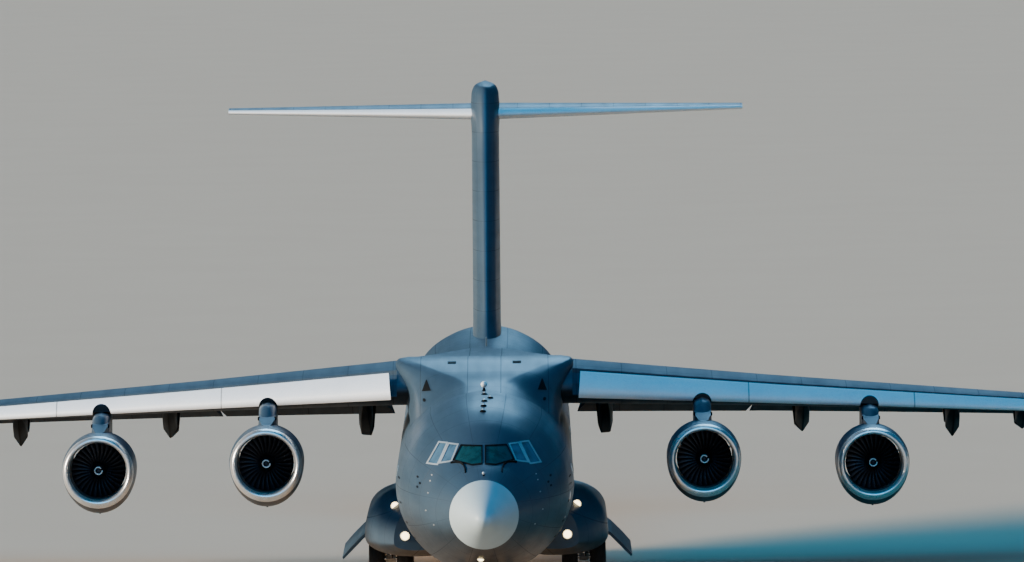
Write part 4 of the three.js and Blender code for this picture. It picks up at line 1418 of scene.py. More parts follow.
    def round_window(self, name: str, place: Row, reach: Row, body: str) -> None:
        """A round window with its rim, set in a side of the hull.

        Args:
            name: the object's name.
            place: d and z of its middle.
            reach: the x that it lies between.
            body: the body it rides on.
        """
        parts = []
        finishes = (self.finishes.frame, self.finishes.side_glass)
        for (radius, proud), finish in zip(self.WINDOW_RINGS, finishes):
            share = side_prism("disc_share", polygon_outline(*place, radius, 24), *reach)
            disc = boolean(hull("disc", proud), [share], Cut.SHARED)
            parts.append(finished(boolean(disc, [hull("disc_inside", -self.plate_depth)]), finish))
        dress(joined(name, parts), self.finishes.side_glass, body, self.crease)

    def glaze(self) -> None:
        """The panes, each in its frame."""
        for name, outline, is_front in self.panes():
            share = prism("pane_share", self.grown(outline, -0.002), *self.GLAZED)
            pane = boolean(hull(name, -self.pane_inset), [share], Cut.SHARED)
            boolean(pane, [hull("pane_inside", -self.pane_depth)])
            glass = self.finishes.front_glass if is_front else self.finishes.side_glass
            if name.endswith("left_1"):
                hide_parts("windscreen")
            dress(pane, glass, "airframe", self.crease)
            outer, inner = (0.016, -0.02) if is_front else (0.028, -0.012)
            share = prism("frame_share", self.grown(outline, outer), *self.GLAZED)
            frame = boolean(hull(name.replace("pane", "frame"), 0.011), [share], Cut.SHARED)
            hole = prism("frame_hole", self.grown(outline, inner), *self.GLAZED)
            boolean(frame, [hull("frame_inside", -0.05), hole])
            finish = self.finishes.seal_and_hole_shade if is_front else self.finishes.frame
            dress(frame, finish, "airframe", self.crease)

    def details(self) -> None:
        """Wipers, ports, side doors' frames, probes and aerials."""
        for hand, side in reversed(SIDES):
            route = [at(side * x, skin_d(x, z) - 0.05, z) for x, z in self.WIPER]
            blade = [point + at(0, LENGTH / 2 - 0.03, 0.03) for point in route[2:]]
            parts = [finished(tube("arm", route, 0.026), self.finishes.seal_and_hole_shade)]
            parts.append(finished(tube("blade", blade, 0.02), self.finishes.seal_and_hole_shade))
            dress(joined(f"wiper_{hand}", parts), self.finishes.seal_and_hole_shade, "airframe")
        self.ports()
        self.side_openings()
        self.aerials()
        self.nose_knob()

    def ports(self) -> None:
        """Static ports and small vents on the nose, and the fairing's inlets and drains, the openings drawn
        as dark plates with their shade painted on.
        """
        # The vents, drains and inlets are dark plates: painted shade for their openings
        nose, hump_front = (2.2, 9.0), (10.4, 13.0)
        groups = [
            ("nose_static_ports", self.BRIGHT_PORTS, 0.022, hull, nose, self.finishes.hub),
            ("nose_vents", self.DARK_PORTS, 0.035, hull, nose, self.finishes.track),
            ("fairing_drains", self.DRAINS, 0.05, hump, hump_front, self.finishes.seal_and_hole_shade),
        ]
        for name, places, radius, skin, reach, finish in groups:
            outlines = [polygon_outline(side * x, z, radius) for x, z in places for side in (1, -1)]
            dress(plates(name, skin, outlines, reach, 0.006), finish, "airframe")
        for name, outline, proud, finish in (
            ("fairing_inlet_rims", self.grown(self.INLET, 0.03), 0.008, self.finishes.fairing),
            ("fairing_inlets", self.INLET, 0.014, self.finishes.seal_and_hole_shade),
        ):
            outlines = [[(side * x, z) for x, z in outline] for side in (1, -1)]
            dress(plates(name, hump, outlines, (10.2, 13.0), proud), finish, "airframe")
        # The slots in the fairing's top are dark plates as well: painted shade
        slots = joined("slots", [block("slot", *limits) for limits in self.TOP_VENTS])
        vents = boolean(hump("fairing_top_vent_shade", 0.012), [slots], Cut.SHARED)
        boolean(vents, [hump("vents_inside", -self.plate_depth)])
        dress(vents, self.finishes.seal_and_hole_shade, "airframe")

    def dome(self, name: str, place: Row, radius: float, height: float) -> bpy.types.Object:
        """A low dome that stands on the crown.

        Args:
            name: the object's name.
            place: x and d of its middle.
            radius: its radius.
            height: how high it stands.

        Returns:
            The object.
        """
        x, d = place
        _, top, bottom, half = lookup(smoothed(FUSELAGE, 12), d)
        rise = (top + bottom) / 2 + (top - bottom) / 2 * math.sqrt(1 - (x / half) ** 2)
        profile = [(-0.06, 0.0), (-0.06, radius), (0.0, radius)]
        profile += [(height * math.sin(a), radius * math.cos(a)) for a in (0.3, 0.6, 0.9, 1.2)]
        return turned(name, [*profile, (height, 0.0)], at(x, d, rise), UP, 24)

    def aerials(self) -> None:
        """The ball aerial, the low domes before it, and blades above and below."""
        profile = [(0.0, 0.0), (0.0, 0.07), (0.12, 0.035), (0.2, 0.035), (0.2, 0.0)]
        stem = turned("stem", profile, at(0, 9.9, 6.76), UP, 16)
        top = ball(at(0, 9.9, 6.9), 0.1, 12, 28)
        parts = [finished(stem, self.finishes.seal_and_hole_shade), finished(top, self.finishes.white)]
        aerial = joined("ball_aerial", parts)
        dress(aerial, self.finishes.white, "airframe", 50)
        for number, place in enumerate(self.CROWN_DOMES, start=1):
            base = finished(self.dome("base", place, 0.1, 0.05), self.finishes.seal_and_hole_shade)
            cap = finished(self.dome("cap", place, 0.045, 0.085), self.finishes.hub)
            dress(joined(f"crown_aerial_{number}", [base, cap]), self.finishes.seal_and_hole_shade, "airframe")
        for name, d, z, up in self.BLADES:
            rings = []
            for share in (0.0, 0.5, 1.0):
                back = d + self.blade_sweep * share
                chord = self.blade_chord - self.blade_sweep * share
                thick = 0.03 - 0.012 * share
                height = z + up * (self.blade_height * share - 0.03)
                rings.append([at(w * thick, back + u * chord, height) for u, w in self.BLADE_SHAPE])
            dress(loft(f"blade_aerial_{name}", rings), self.finishes.plain, "airframe")

    def nose_knob(self) -> None:
        """The small round probe above the nose cone."""
        top = ball(at(0.0, 1.72, 4.85), 0.05, 8, 20)
        stem = tube("stem", [at(0, 1.9, 4.75), at(0, 1.72, 4.88)], 0.028)
        knob = joined("nose_probe", [finished(stem, self.finishes.seal_and_hole_shade), finished(top, self.finishes.hub)])
        dress(knob, self.finishes.seal_and_hole_shade, "airframe", 50)


# The wing


@dataclass
class Station:
    """A wing station: place, chord, thickness share and tilt."""

    x: float
    edge: float
    z: float
    chord: float
    thick: float
    tilt: float

    def on(self, side: int, u: float, v: float) -> Vector:
        """A point of the section's plane.

        Args:
            side: 1 for the left, -1 for the right.
            u: the share of the chord behind the leading edge.
            v: the share above it.

        Returns:
            The point.
        """
        s, c = math.sin(math.radians(self.tilt)), math.cos(math.radians(self.tilt))
        return at(
            side * self.x,
            self.edge + self.chord * (u * c + v * s),
            self.z + self.chord * (v * c - u * s),
        )

    def upper(self, u: float) -> float:
        """The upper skin's share at a share of the chord."""
        return camber(u) + half_thickness(u, self.thick)

    def lower(self, u: float) -> float:
        """The lower skin's share at a share of the chord."""
        return camber(u) - half_thickness(u, self.thick)

    def underside(self, u: float) -> float:
        """The lower skin's height at a share of the chord."""
        return self.on(1, u, self.lower(u)).z / SCALE


def camber(u: float) -> float:
    """Height of the mean line."""
    return 0.07 * u * (1 - u)


def half_thickness(u: float, thick: float) -> float:
    """Half the thickness at a share of the chord."""
    u = max(u, 0.0)
    return 5 * thick * (0.2969 * u**0.5 - 0.126 * u - 0.3516 * u**2 + 0.2843 * u**3 - 0.1015 * u**4)


def station(table: Sequence[Row], x: float) -> Station:
    """The station of a wing table at a distance out."""
    return Station(*lookup(table, x))


def spread(start: float, end: float, count: int) -> list[float]:
    """Values from start to end, closest together at the start."""
    return [start + (end - start) * (1 - math.cos(i / (count - 1) * math.pi / 2)) for i in range(count)]


def aerofoil(s: Station, side: int, grow: float = 0.0, count: int = 30) -> Ring:
    """A wing section's ring.

    Args:
        s: the station.
        side: 1 for the left, -1 for the right.
        grow: how far it is grown outwards.
        count: points over the chord, above as below.

    Returns:
        The ring.
    """
    lift = grow / s.chord
    shares = spread(0.0, 1.0, count)
    over = [s.on(side, u + (lift if u == 1 else 0), s.upper(u) + lift) for u in reversed(shares[1:])]
    under = [s.on(side, u + (lift if u == 1 else 0), s.lower(u) - lift) for u in shares[1:]]
    return [*over, s.on(side, -lift, 0), *under]


def wing_solid(name: str, side: int, grow: float) -> bpy.types.Object:
    """The whole wing of one side.

    Args:
        name: the object's name.
        side: 1 for the left, -1 for the right.
        grow: how far it is grown outwards.

    Returns:
        The object.
    """
    rings = [aerofoil(station(WING, x), side, grow) for x in wing_stations(WING)]
    if grow > 0:
        for point in rings[0]:
            point.x = 0.0
    return loft(name, rings)


def wing_stations(table: Sequence[Row], pitch: float = 1.5) -> list[float]:
    """The stations of a wing table with more between them.

    Args:
        table: the table.
        pitch: about how far apart they are.

    Returns:
        How far out each lies.
    """
    found: list[float] = []
    for row, after in zip(table, table[1:]):
        count = max(1, round((after[0] - row[0]) / pitch))
        found += [row[0] + (after[0] - row[0]) * i / count for i in range(count)]
    return [*found, table[-1][0]]


def spanwise(name: str, table: Sequence[Row], side: int, span: Row, section: Section) -> bpy.types.Object:
    """A bar along the span with a section that a function gives in shares of the chord.

    Args:
        name: the object's name.
        table: the wing's table.
        side: 1 for the left, -1 for the right.
        span: where it starts and ends.
        section: the (u, v) points at a station.

    Returns:
        The object.
    """
    low, high = span
    inside = [x for x in wing_stations(table) if low < x < high]
    rings = []
    for x in [low, *inside, high]:
        s = station(table, x)
        rings.append([s.on(side, u, v) for u, v in section(s)])
    return loft(name, rings)


def hinged_section(hinge: float) -> Section:
    """The section of a surface that turns about its own round nose.

    Args:
        hinge: the hinge line's share of the chord.

    Returns:
        What gives the section at a station.
    """

    def section(s: Station) -> list[tuple[float, float]]:
        """Its points at a station."""
        half = (s.upper(hinge) - s.lower(hinge)) / 2
        turns = [math.radians(a) for a in range(0, 181, 20)]
        nose = [(hinge - half * math.sin(a), camber(hinge) + half * math.cos(a)) for a in turns]
        return [(1, s.upper(1)), *nose, (1, s.lower(1))]

    return section


def hinged_bed(hinge: float, play: float) -> Section:
    """What a wing gives up to such a surface.

    Args:
        hinge: the hinge line's share of the chord.
        play: the gap before the surface's nose.

    Returns:
        What gives the bed's section at a station.
    """

    def section(s: Station) -> list[tuple[float, float]]:
        """Its points at a station."""
        front = hinge - (s.upper(hinge) - s.lower(hinge)) / 2 - play / s.chord
        return [(front, 0.07), (front, -0.07), (1.1, -0.07), (1.1, 0.07)]

    return section


@dataclass
class Wings:
    """Both wings with slats, flaps, ailerons and flap tracks."""

    finishes: Finishes
    slat_span: Row = (2.79, 23.2)
    slat_pivots: Row = (2.98, 23.2)
    slat_edge: float = 0.085
    slat_lip: float = 0.006
    slat_turn: float = 12.0
    flap_nose: float = 0.732
    flap_lip: float = 0.8
    flap_pivot: float = -0.175
    flap_turn: float = 20.0
    spans: tuple[tuple[str, Row], ...] = (("inboard", (3.6, 8.93)), ("outboard", (9.14, 18.2)))
    aileron_span: Row = (18.44, 22.9)
    aileron_hinge: float = 0.76
    track_half: float = 0.23
    notch_radius: float = 0.3
    notch_reach: float = 0.9
    notch_length: float = 2.2
    play: float = 0.02

    # The slats' hinge line: root x and chord of its straight taper, place in shares of that chord
    SLAT_TAPER = (2.75, 9.7, -0.334)
    SLAT_HINGE = (0.09, -0.2)
    # Where each flap's bed is cut before it is squared, and the play at its inner and outer end
    FLAP_BEDS = (((2.8, 9.5), play, 0.3), ((8.0, 18.6), 0.3, play))
    NOTCHES = (6.85, 12.23)
    WICKS = (18.2, 19.3, 20.4, 21.5)
    TIP_LIGHT = 23.4
    # Half a track's outline: shares of the half width and of the half height, above the keel
    TRACK_CORNERS = [(0.35, 1.0), (1.0, 0.6), (1.0, -0.5)]
    # How far a ring's points stand from each corner, towards the corner before or after it
    TRACK_ROUNDING = (-0.18, -0.05, 0.05, 0.18)
    # x, depth of the fixed front, depth of the tail on the flap, width of the keel
    TRACKS = [(3.85, 1.3, 1.3, 0.65), (10.2, 1.12, 1.12, 0.1), (15.1, 1.12, 0.78, 0.1), (17.4, 0.8, 0.8, 0.1)]

    def slat_section(self, s: Station) -> list[tuple[float, float]]:
        """The slat's section.

        Args:
            s: the station.

        Returns:
            Its points, in shares of the chord.
        """
        skin = [(u, s.upper(u)) for u in reversed(spread(0.0, self.slat_edge, 9)[1:])]
        nose = [(u, s.lower(u)) for u in spread(0.0, self.slat_lip, 4)]
        back = [
            (0.017, s.lower(self.slat_lip) * 0.4),
            (0.026, s.upper(0.026) * 0.45),
            (0.05, s.upper(0.05) - 0.012),
            (self.slat_edge, s.upper(self.slat_edge) - 0.004),
        ]
        return [*skin, *nose, *back]

    def slat_bed(self, s: Station) -> list[tuple[float, float]]:
        """What the wing's nose gives up to the slat.

        Args:
            s: the station.

        Returns:
            Its points, in shares of the chord.
        """
        return [
            (self.slat_edge + 0.006, 0.2),
            (self.slat_edge + 0.006, s.upper(self.slat_edge) - 0.013),
            (0.05, s.upper(0.05) - 0.024),
            (0.036, s.upper(0.036) * 0.3),
            (0.029, s.lower(0.029) * 0.4),
            (0.02, s.lower(0.02) * 0.9),
            (0.012, -0.2),
            (-0.2, -0.2),
            (-0.2, 0.2),
        ]

    def flap_section(self, s: Station) -> list[tuple[float, float]]:
        """The flap's section.

        Args:
            s: the station.

        Returns:
            Its points, in shares of the chord.
        """
        over = [(u, s.upper(u)) for u in (1.0, 0.95, 0.9, 0.86, self.flap_lip + 0.012)]
        front = [
            (self.flap_lip + 0.006, s.upper(self.flap_lip) - 0.014),
            (self.flap_lip - 0.02, s.upper(self.flap_lip - 0.02) - 0.018),
            (self.flap_nose + 0.012, s.upper(self.flap_nose) - 0.028),
            (self.flap_nose, (s.upper(self.flap_nose) - 0.028 + s.lower(self.flap_nose)) / 2),
        ]
        under = [(u, s.lower(u)) for u in (self.flap_nose + 0.01, 0.8, 0.86, 0.93, 1.0)]
        return [*over, *front, *under]

    def flap_bed(self, s: Station) -> list[tuple[float, float]]:
        """What the wing's back gives up to the flap.

        Args:
            s: the station.

        Returns:
            Its points, in shares of the chord.
        """
        nose = self.flap_nose
        return [
            (self.flap_lip, 0.2),
            (self.flap_lip, s.upper(self.flap_lip) - 0.005),
            (nose - 0.007, s.upper(nose) - 0.017),
            (nose - 0.007, -0.2),
            (1.1, -0.2),
            (1.1, 0.2),
        ]

    def slat_pivot(self, x: float) -> Vector:
        """A point of the left slat's hinge line.

        Args:
            x: how far out it lies.

        Returns:
            The point.
        """
        s = station(WING, x)
        root, chord, slope = self.SLAT_TAPER
        s.chord = chord + slope * (x - root)
        return s.on(1, *self.SLAT_HINGE)

    def flap_point(self, x: float) -> Vector:
        """A point of the left flaps' hinge lines."""
        return station(WING, x).on(1, self.flap_nose, self.flap_pivot)

    @staticmethod
    def turn(
        obj: bpy.types.Object, start: Vector, end: Vector, side: int, degrees: float
    ) -> bpy.types.Object:
        """Turns a piece about a line given for the left side.

        Args:
            obj: the piece.
            start: one end of the line.
            end: its other end.
            side: 1 for the left, -1 for the right.
            degrees: how far it turns.

        Returns:
            The same object.
        """
        a = Vector((side * start.x, start.y, start.z))
        b = Vector((side * end.x, end.y, end.z))
        rotation = Matrix.Rotation(math.radians(degrees), 4, (b - a).normalized())
        obj.data.transform(Matrix.Translation(a) @ rotation @ Matrix.Translation(-a))
        return obj

    def squared(
        self, obj: bpy.types.Object, span: Row, side: int, inner: float, outer: float
    ) -> bpy.types.Object:
        """Cuts a bar square to its hinge line at both pivots.

        Args:
            obj: the bar.
            span: where the pivots are.
            side: 1 for the left, -1 for the right.
            inner: how far it goes on past the inner pivot.
            outer: how far it goes on past the outer one.

        Returns:
            The same object.
        """
        a, b = self.flap_point(span[0]), self.flap_point(span[1])
        axis = (b - a).normalized()
        across = axis.cross(UP).normalized()
        up = across.cross(axis)
        rings = []
        for end in (a - axis * inner * SCALE, b + axis * outer * SCALE):
            corners = [end + across * i + up * j for i, j in ((-6, -4), (6, -4), (6, 4), (-6, 4))]
            rings.append([Vector((side * p.x, p.y, p.z)) for p in corners])
        return boolean(obj, [loft("square_ends", rings)], Cut.SHARED)

    def track_ring(self, x: float, keel: float, row: Row) -> Ring:
        """A flap track fairing's ring, with soft corners.

        Args:
            x: its middle.
            keel: the keel's share of its width.
            row: d, top, bottom, half width.

        Returns:
            The ring.
        """
        d, top, bottom, half = row
        corners = [*self.TRACK_CORNERS, (keel, -1.0)]
        corners = [*corners, *[(-across, up) for across, up in reversed(corners)]]
        ring = []
        for i, here in enumerate(corners):
            for share in self.TRACK_ROUNDING:
                other = corners[(i + (1 if share > 0 else -1)) % len(corners)]
                across, up = (a + abs(share) * (b - a) for a, b in zip(here, other))
                ring.append(at(x + across * half, d, (top + bottom) / 2 + up * (top - bottom) / 2))
        return ring

    def track_front(self, name: str, side: int, track: Row) -> bpy.types.Object:
        """The fixed front of a flap track fairing.

        Args:
            name: the object's name.
            side: 1 for the left, -1 for the right.
            track: its row of TRACKS.

        Returns:
            The object.
        """
        x, depth, _, keel = track
        s = station(WING, x)
        front, middle, back = (s.underside(u) for u in (0.4, 0.55, 0.72))
        half = self.track_half
        rows = [
            (s.edge + 0.4 * s.chord, front + 0.2, front - 0.02, half * 0.3),
            (s.edge + 0.55 * s.chord, middle + 0.25, middle - depth * 0.55, half * 0.9),
            (s.edge + self.flap_nose * s.chord - 0.05, back + 0.1, back - depth, half),
        ]
        return loft(name, [self.track_ring(side * x, keel, row) for row in smoothed(rows, 8)])

    def track_tail(self, name: str, side: int, track: Row) -> bpy.types.Object:
        """The tail of a flap track fairing, which moves with the flap.

        Args:
            name: the object's name.
            side: 1 for the left, -1 for the right.
            track: its row of TRACKS.

        Returns:
            The object, as with the flap up.
        """
        x, _, depth, keel = track
        s = station(WING, x)
        front, middle, back = (s.underside(u) for u in (0.74, 0.88, 1))
        start, half = s.edge + self.flap_nose * s.chord + 0.02, self.track_half
        rows = [
            (start, front + 0.06, front - depth * 0.98, half),
            (start + s.chord * 0.16, middle + 0.05, middle - depth * 0.72, half * 0.85),
            (start + s.chord * 0.34, back - depth * 0.2, back - depth * 0.34, half * 0.2),
        ]
        return loft(name, [self.track_ring(side * x, keel, row) for row in smoothed(rows, 8)])

    def build(self) -> None:
        """Makes both wings."""
        for hand, side in SIDES:
            self.wing(hand, side)
            self.slat(hand, side)
            for name, span in self.spans:
                self.flap(name, hand, side, span)
            self.aileron(hand, side)
            self.tip_light(hand, side)

    def wing(self, hand: str, side: int) -> None:
        """The fixed wing of one side with the fronts of its flap tracks.

        Args:
            hand: left or right.
            side: 1 for the left, -1 for the right.
        """
        slat_bed = (self.slat_span[0] - 0.03, self.slat_span[1] + 0.12)
        aileron_bed = (self.aileron_span[0] - 0.06, self.aileron_span[1] + 0.04)
        beds = [
            spanwise("slat_bed", WING, side, slat_bed, self.slat_bed),
            spanwise("aileron_bed", WING, side, aileron_bed, hinged_bed(self.aileron_hinge, self.play)),
        ]
        for (_, span), (reach, inner, outer) in zip(self.spans, self.FLAP_BEDS):
            bed = spanwise("flap_bed", WING, side, reach, self.flap_bed)
            beds.append(self.squared(bed, span, side, inner, outer))
        wing = boolean(wing_solid(f"wing_skin_{hand}", side, 0.0), beds)
        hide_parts(f"wing_{hand}")
        dress(wing, self.finishes.wing, "airframe", 28)
        for number, track in enumerate(self.TRACKS, start=1):
            front = self.track_front(f"flap_track_{hand}_{number}", side, track)
            # The track fairings are near black: painted shade under the wing
            dress(front, self.finishes.track, "airframe")

    def slat(self, hand: str, side: int) -> None:
        """The slat of one side, out as in the photo.

        Args:
            hand: left or right.
            side: 1 for the left, -1 for the right.
        """
        slat = spanwise(f"slat_sheet_{hand}", WING, side, self.slat_span, self.slat_section)
        ends = (self.slat_pivot(x) for x in self.slat_pivots)
        self.turn(slat, *ends, side, side * self.slat_turn)
        boolean(slat, [self.notch(slat, side * x) for x in self.NOTCHES])
        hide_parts(f"slat_{hand}")
        dress(slat, self.finishes.slat, f"slat_{hand}", 40)

    def notch(self, slat: bpy.types.Object, x: float) -> bpy.types.Object:
        """The arch that a slat's lower edge leaves for a pylon.

        Args:
            slat: the slat, at its place.
            x: the pylon's middle.

        Returns:
            The bar, for cutting.
        """
        close = [v.co for v in slat.data.vertices if abs(v.co.x / SCALE - x) < self.notch_reach]
        lowest = min(co.z for co in close) / SCALE
        front = min(co.y for co in close) / SCALE + LENGTH / 2
        radius, length = self.notch_radius, self.notch_length
        profile = [(0.0, 0.0), (0.0, radius), (length, radius), (length, 0.0)]
        return turned("notch", profile, at(x, front - 0.3, lowest + 0.02), AHEAD, 40)

    def flap(self, name: str, hand: str, side: int, span: Row) -> None:
        """A flap with the tails of its tracks, part-way down as in the photo.

        Args:
            name: inboard or outboard.
            hand: left or right.
            side: 1 for the left, -1 for the right.
            span: where its pivots are.
        """
        body = f"{name}_flap_{hand}"
        line = [self.flap_point(x) for x in span]
        reach = (span[0] - 0.8, span[1] + 0.3)
        panel = spanwise(f"{name}_flap_skin_{hand}", WING, side, reach, self.flap_section)
        self.squared(panel, span, side, 0.0, 0.0)
        self.turn(panel, *line, side, -side * self.flap_turn)
        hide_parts(body)
        dress(panel, self.finishes.flap, body)
        for number, track in enumerate(self.TRACKS, start=1):
            if span[0] < track[0] < span[1]:
                tail = self.track_tail(f"flap_track_tail_{hand}_{number}", side, track)
                self.turn(tail, *line, side, -side * self.flap_turn)
                # The track tails are near black: painted shade under the wing
                dress(tail, self.finishes.track, body)

    def aileron(self, hand: str, side: int) -> None:
        """The aileron of one side, with its static wicks.

        Args:
            hand: left or right.
            side: 1 for the left, -1 for the right.
        """
        section = hinged_section(self.aileron_hinge)
        surface = spanwise(f"aileron_skin_{hand}", WING, side, self.aileron_span, section)
        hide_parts(f"aileron_{hand}")
        dress(surface, self.finishes.wing, f"aileron_{hand}")
        parts = []
        for x in self.WICKS:
            s = station(WING, x)
            wick = tube("wick", [s.on(side, 0.985, 0.0), s.on(side, 1.03, 0.004)], 0.012, 8)
            parts.append(finished(wick, self.finishes.seal_and_hole_shade))
        dress(joined(f"static_wicks_{hand}", parts), self.finishes.seal_and_hole_shade, f"aileron_{hand}")

    def tip_light(self, hand: str, side: int) -> None:
        """The navigation light in the leading edge near a wing's tip.

        Args:
            hand: left or right.
            side: 1 for the left, -1 for the right.
        """
        place = station(WING, self.TIP_LIGHT).on(side, 0.02, 0.0)
        lens = [(-0.06, 0.0), (-0.05, 0.035), (0.0, 0.06), (0.12, 0.06), (0.12, 0.0)]
        light = turned(f"tip_light_{hand}", lens, place, Vector((side * 0.35, 1, 0)), 20)
        dress(light, self.finishes.side_glass, "airframe", 50)


# Tail


@dataclass
class Tail:
    """Fin, rudder, tailplane and elevators."""

    finishes: Finishes
    rudder_bottom: float = 7.45
    rudder_top: float = 13.1
    rudder_hinge: float = 0.7
    elevator_span: Row = (0.62, 8.2)
    elevator_hinge: float = 0.72
    nose_share: float = 0.74
    crease: float = 35.0
    tip_from: float = 8.55
    edge_share: float = 0.07
    play: float = 0.02

    @staticmethod
    def fin_ring(row: Row, grow: float) -> Ring:
        """A level section of the fin.

        Args:
            row: a row of FIN.
            grow: how far it is grown outwards.

        Returns:
            The ring.
        """
        z, front, back, half = row
        wall = []
        for u, w in smoothed(FIN_SHAPE, 5)[1:]:
            wall.append((front + u * (back - front) + (grow if u == 1 else 0), w * half + grow))
        nose = at(0, front - grow, z)
        return [nose, *[at(x, d, z) for d, x in wall], *[at(-x, d, z) for d, x in reversed(wall)]]

    def fin_solid(self, name: str, grow: float) -> bpy.types.Object:
        """The whole fin."""
        rows = [FIN[0], *[lookup(FIN, FIN[1][0] + i * 0.62) for i in range(10)], *smoothed(FIN[2:], 5)]
        return loft(name, [self.fin_ring(row, grow) for row in rows])

    def hinge(self, z: float) -> float:
        """The rudder's hinge line at a height."""
        _, front, back, _ = lookup(FIN, z)
        return front + (back - front) * self.rudder_hinge

    def rudder_ring(self, z: float) -> Ring:
        """A level section of the rudder.

        Args:
            z: its height.

        Returns:
            The ring.
        """
        _, _, back, half = lookup(FIN, z)
        nose = self.nose_share * half - self.play
        turn = [math.radians(a) for a in range(-90, 91, 15)]
        front = [at(nose * math.sin(a), self.hinge(z) - nose * math.cos(a), z) for a in turn]
        return [at(-0.03, back, z), *front, at(0.03, back, z)]

    def rudder_bed(self, z: float) -> Ring:
        """What the fin gives up to the rudder at a height."""
        front = self.hinge(z) - self.nose_share * lookup(FIN, z)[3] - self.play
        return [at(-1, front, z), at(1, front, z), at(1, LENGTH + 1, z), at(-1, LENGTH + 1, z)]

    def build(self) -> None:
        """Makes the tail."""
        low, high = self.rudder_bottom, self.rudder_top
        bed = loft("rudder_bed", [self.rudder_bed(low - 0.1), self.rudder_bed(high + 0.13)])
        fin = boolean(self.fin_solid("fin_skin", 0.0), [hull("under_fin", GAP), bed])
        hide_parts("fin")
        dress(fin, self.finishes.fin, "airframe", self.crease)
        rudder = loft("rudder_skin", [self.rudder_ring(low), self.rudder_ring(high)])
        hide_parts("rudder")
        dress(rudder, self.finishes.fin, "rudder", self.crease)
        for hand, side in SIDES:
            self.tailplane(hand, side)

    def tailplane(self, hand: str, side: int) -> None:
        """One half of the tailplane and its elevator.

        Args:
            hand: left or right.
            side: 1 for the left, -1 for the right.
        """
        rings = [aerofoil(station(TAILPLANE, x), side) for x in wing_stations(TAILPLANE, 0.8)]
        skin = loft(f"tailplane_skin_{hand}", rings)
        span = (self.elevator_span[0] - 0.5, self.elevator_span[1] + 0.03)
        bed = spanwise("elevator_bed", TAILPLANE, side, span, hinged_bed(self.elevator_hinge, self.play))
        boolean(skin, [bed, self.fin_solid("fin_room", GAP)])
        self.bare_edge(skin)
        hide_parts(f"tailplane_{hand}")
        dress(skin, self.finishes.tail, "airframe")
        section = hinged_section(self.elevator_hinge)
        elevator = spanwise(f"elevator_skin_{hand}", TAILPLANE, side, self.elevator_span, section)
        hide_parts(f"elevator_{hand}")
        dress(elevator, self.finishes.tail, f"elevator_{hand}")

    def bare_edge(self, skin: bpy.types.Object) -> None:
        """The tailplane's bare metal leading edge and dark tip.

        Args:
            skin: one half of the tailplane.
        """
        mesh = skin.data
        mesh.materials.clear()
        for finish in (self.finishes.tail, self.finishes.edge, self.finishes.track):
            mesh.materials.append(finish)
        for polygon in mesh.polygons:
            x, y, _ = (c / SCALE for c in polygon.center)
            s = station(TAILPLANE, abs(x))
            if abs(x) > self.tip_from:
                polygon.material_index = 2
            elif (y + LENGTH / 2 - s.edge) / s.chord < self.edge_share:
                polygon.material_index = 1


# Engines


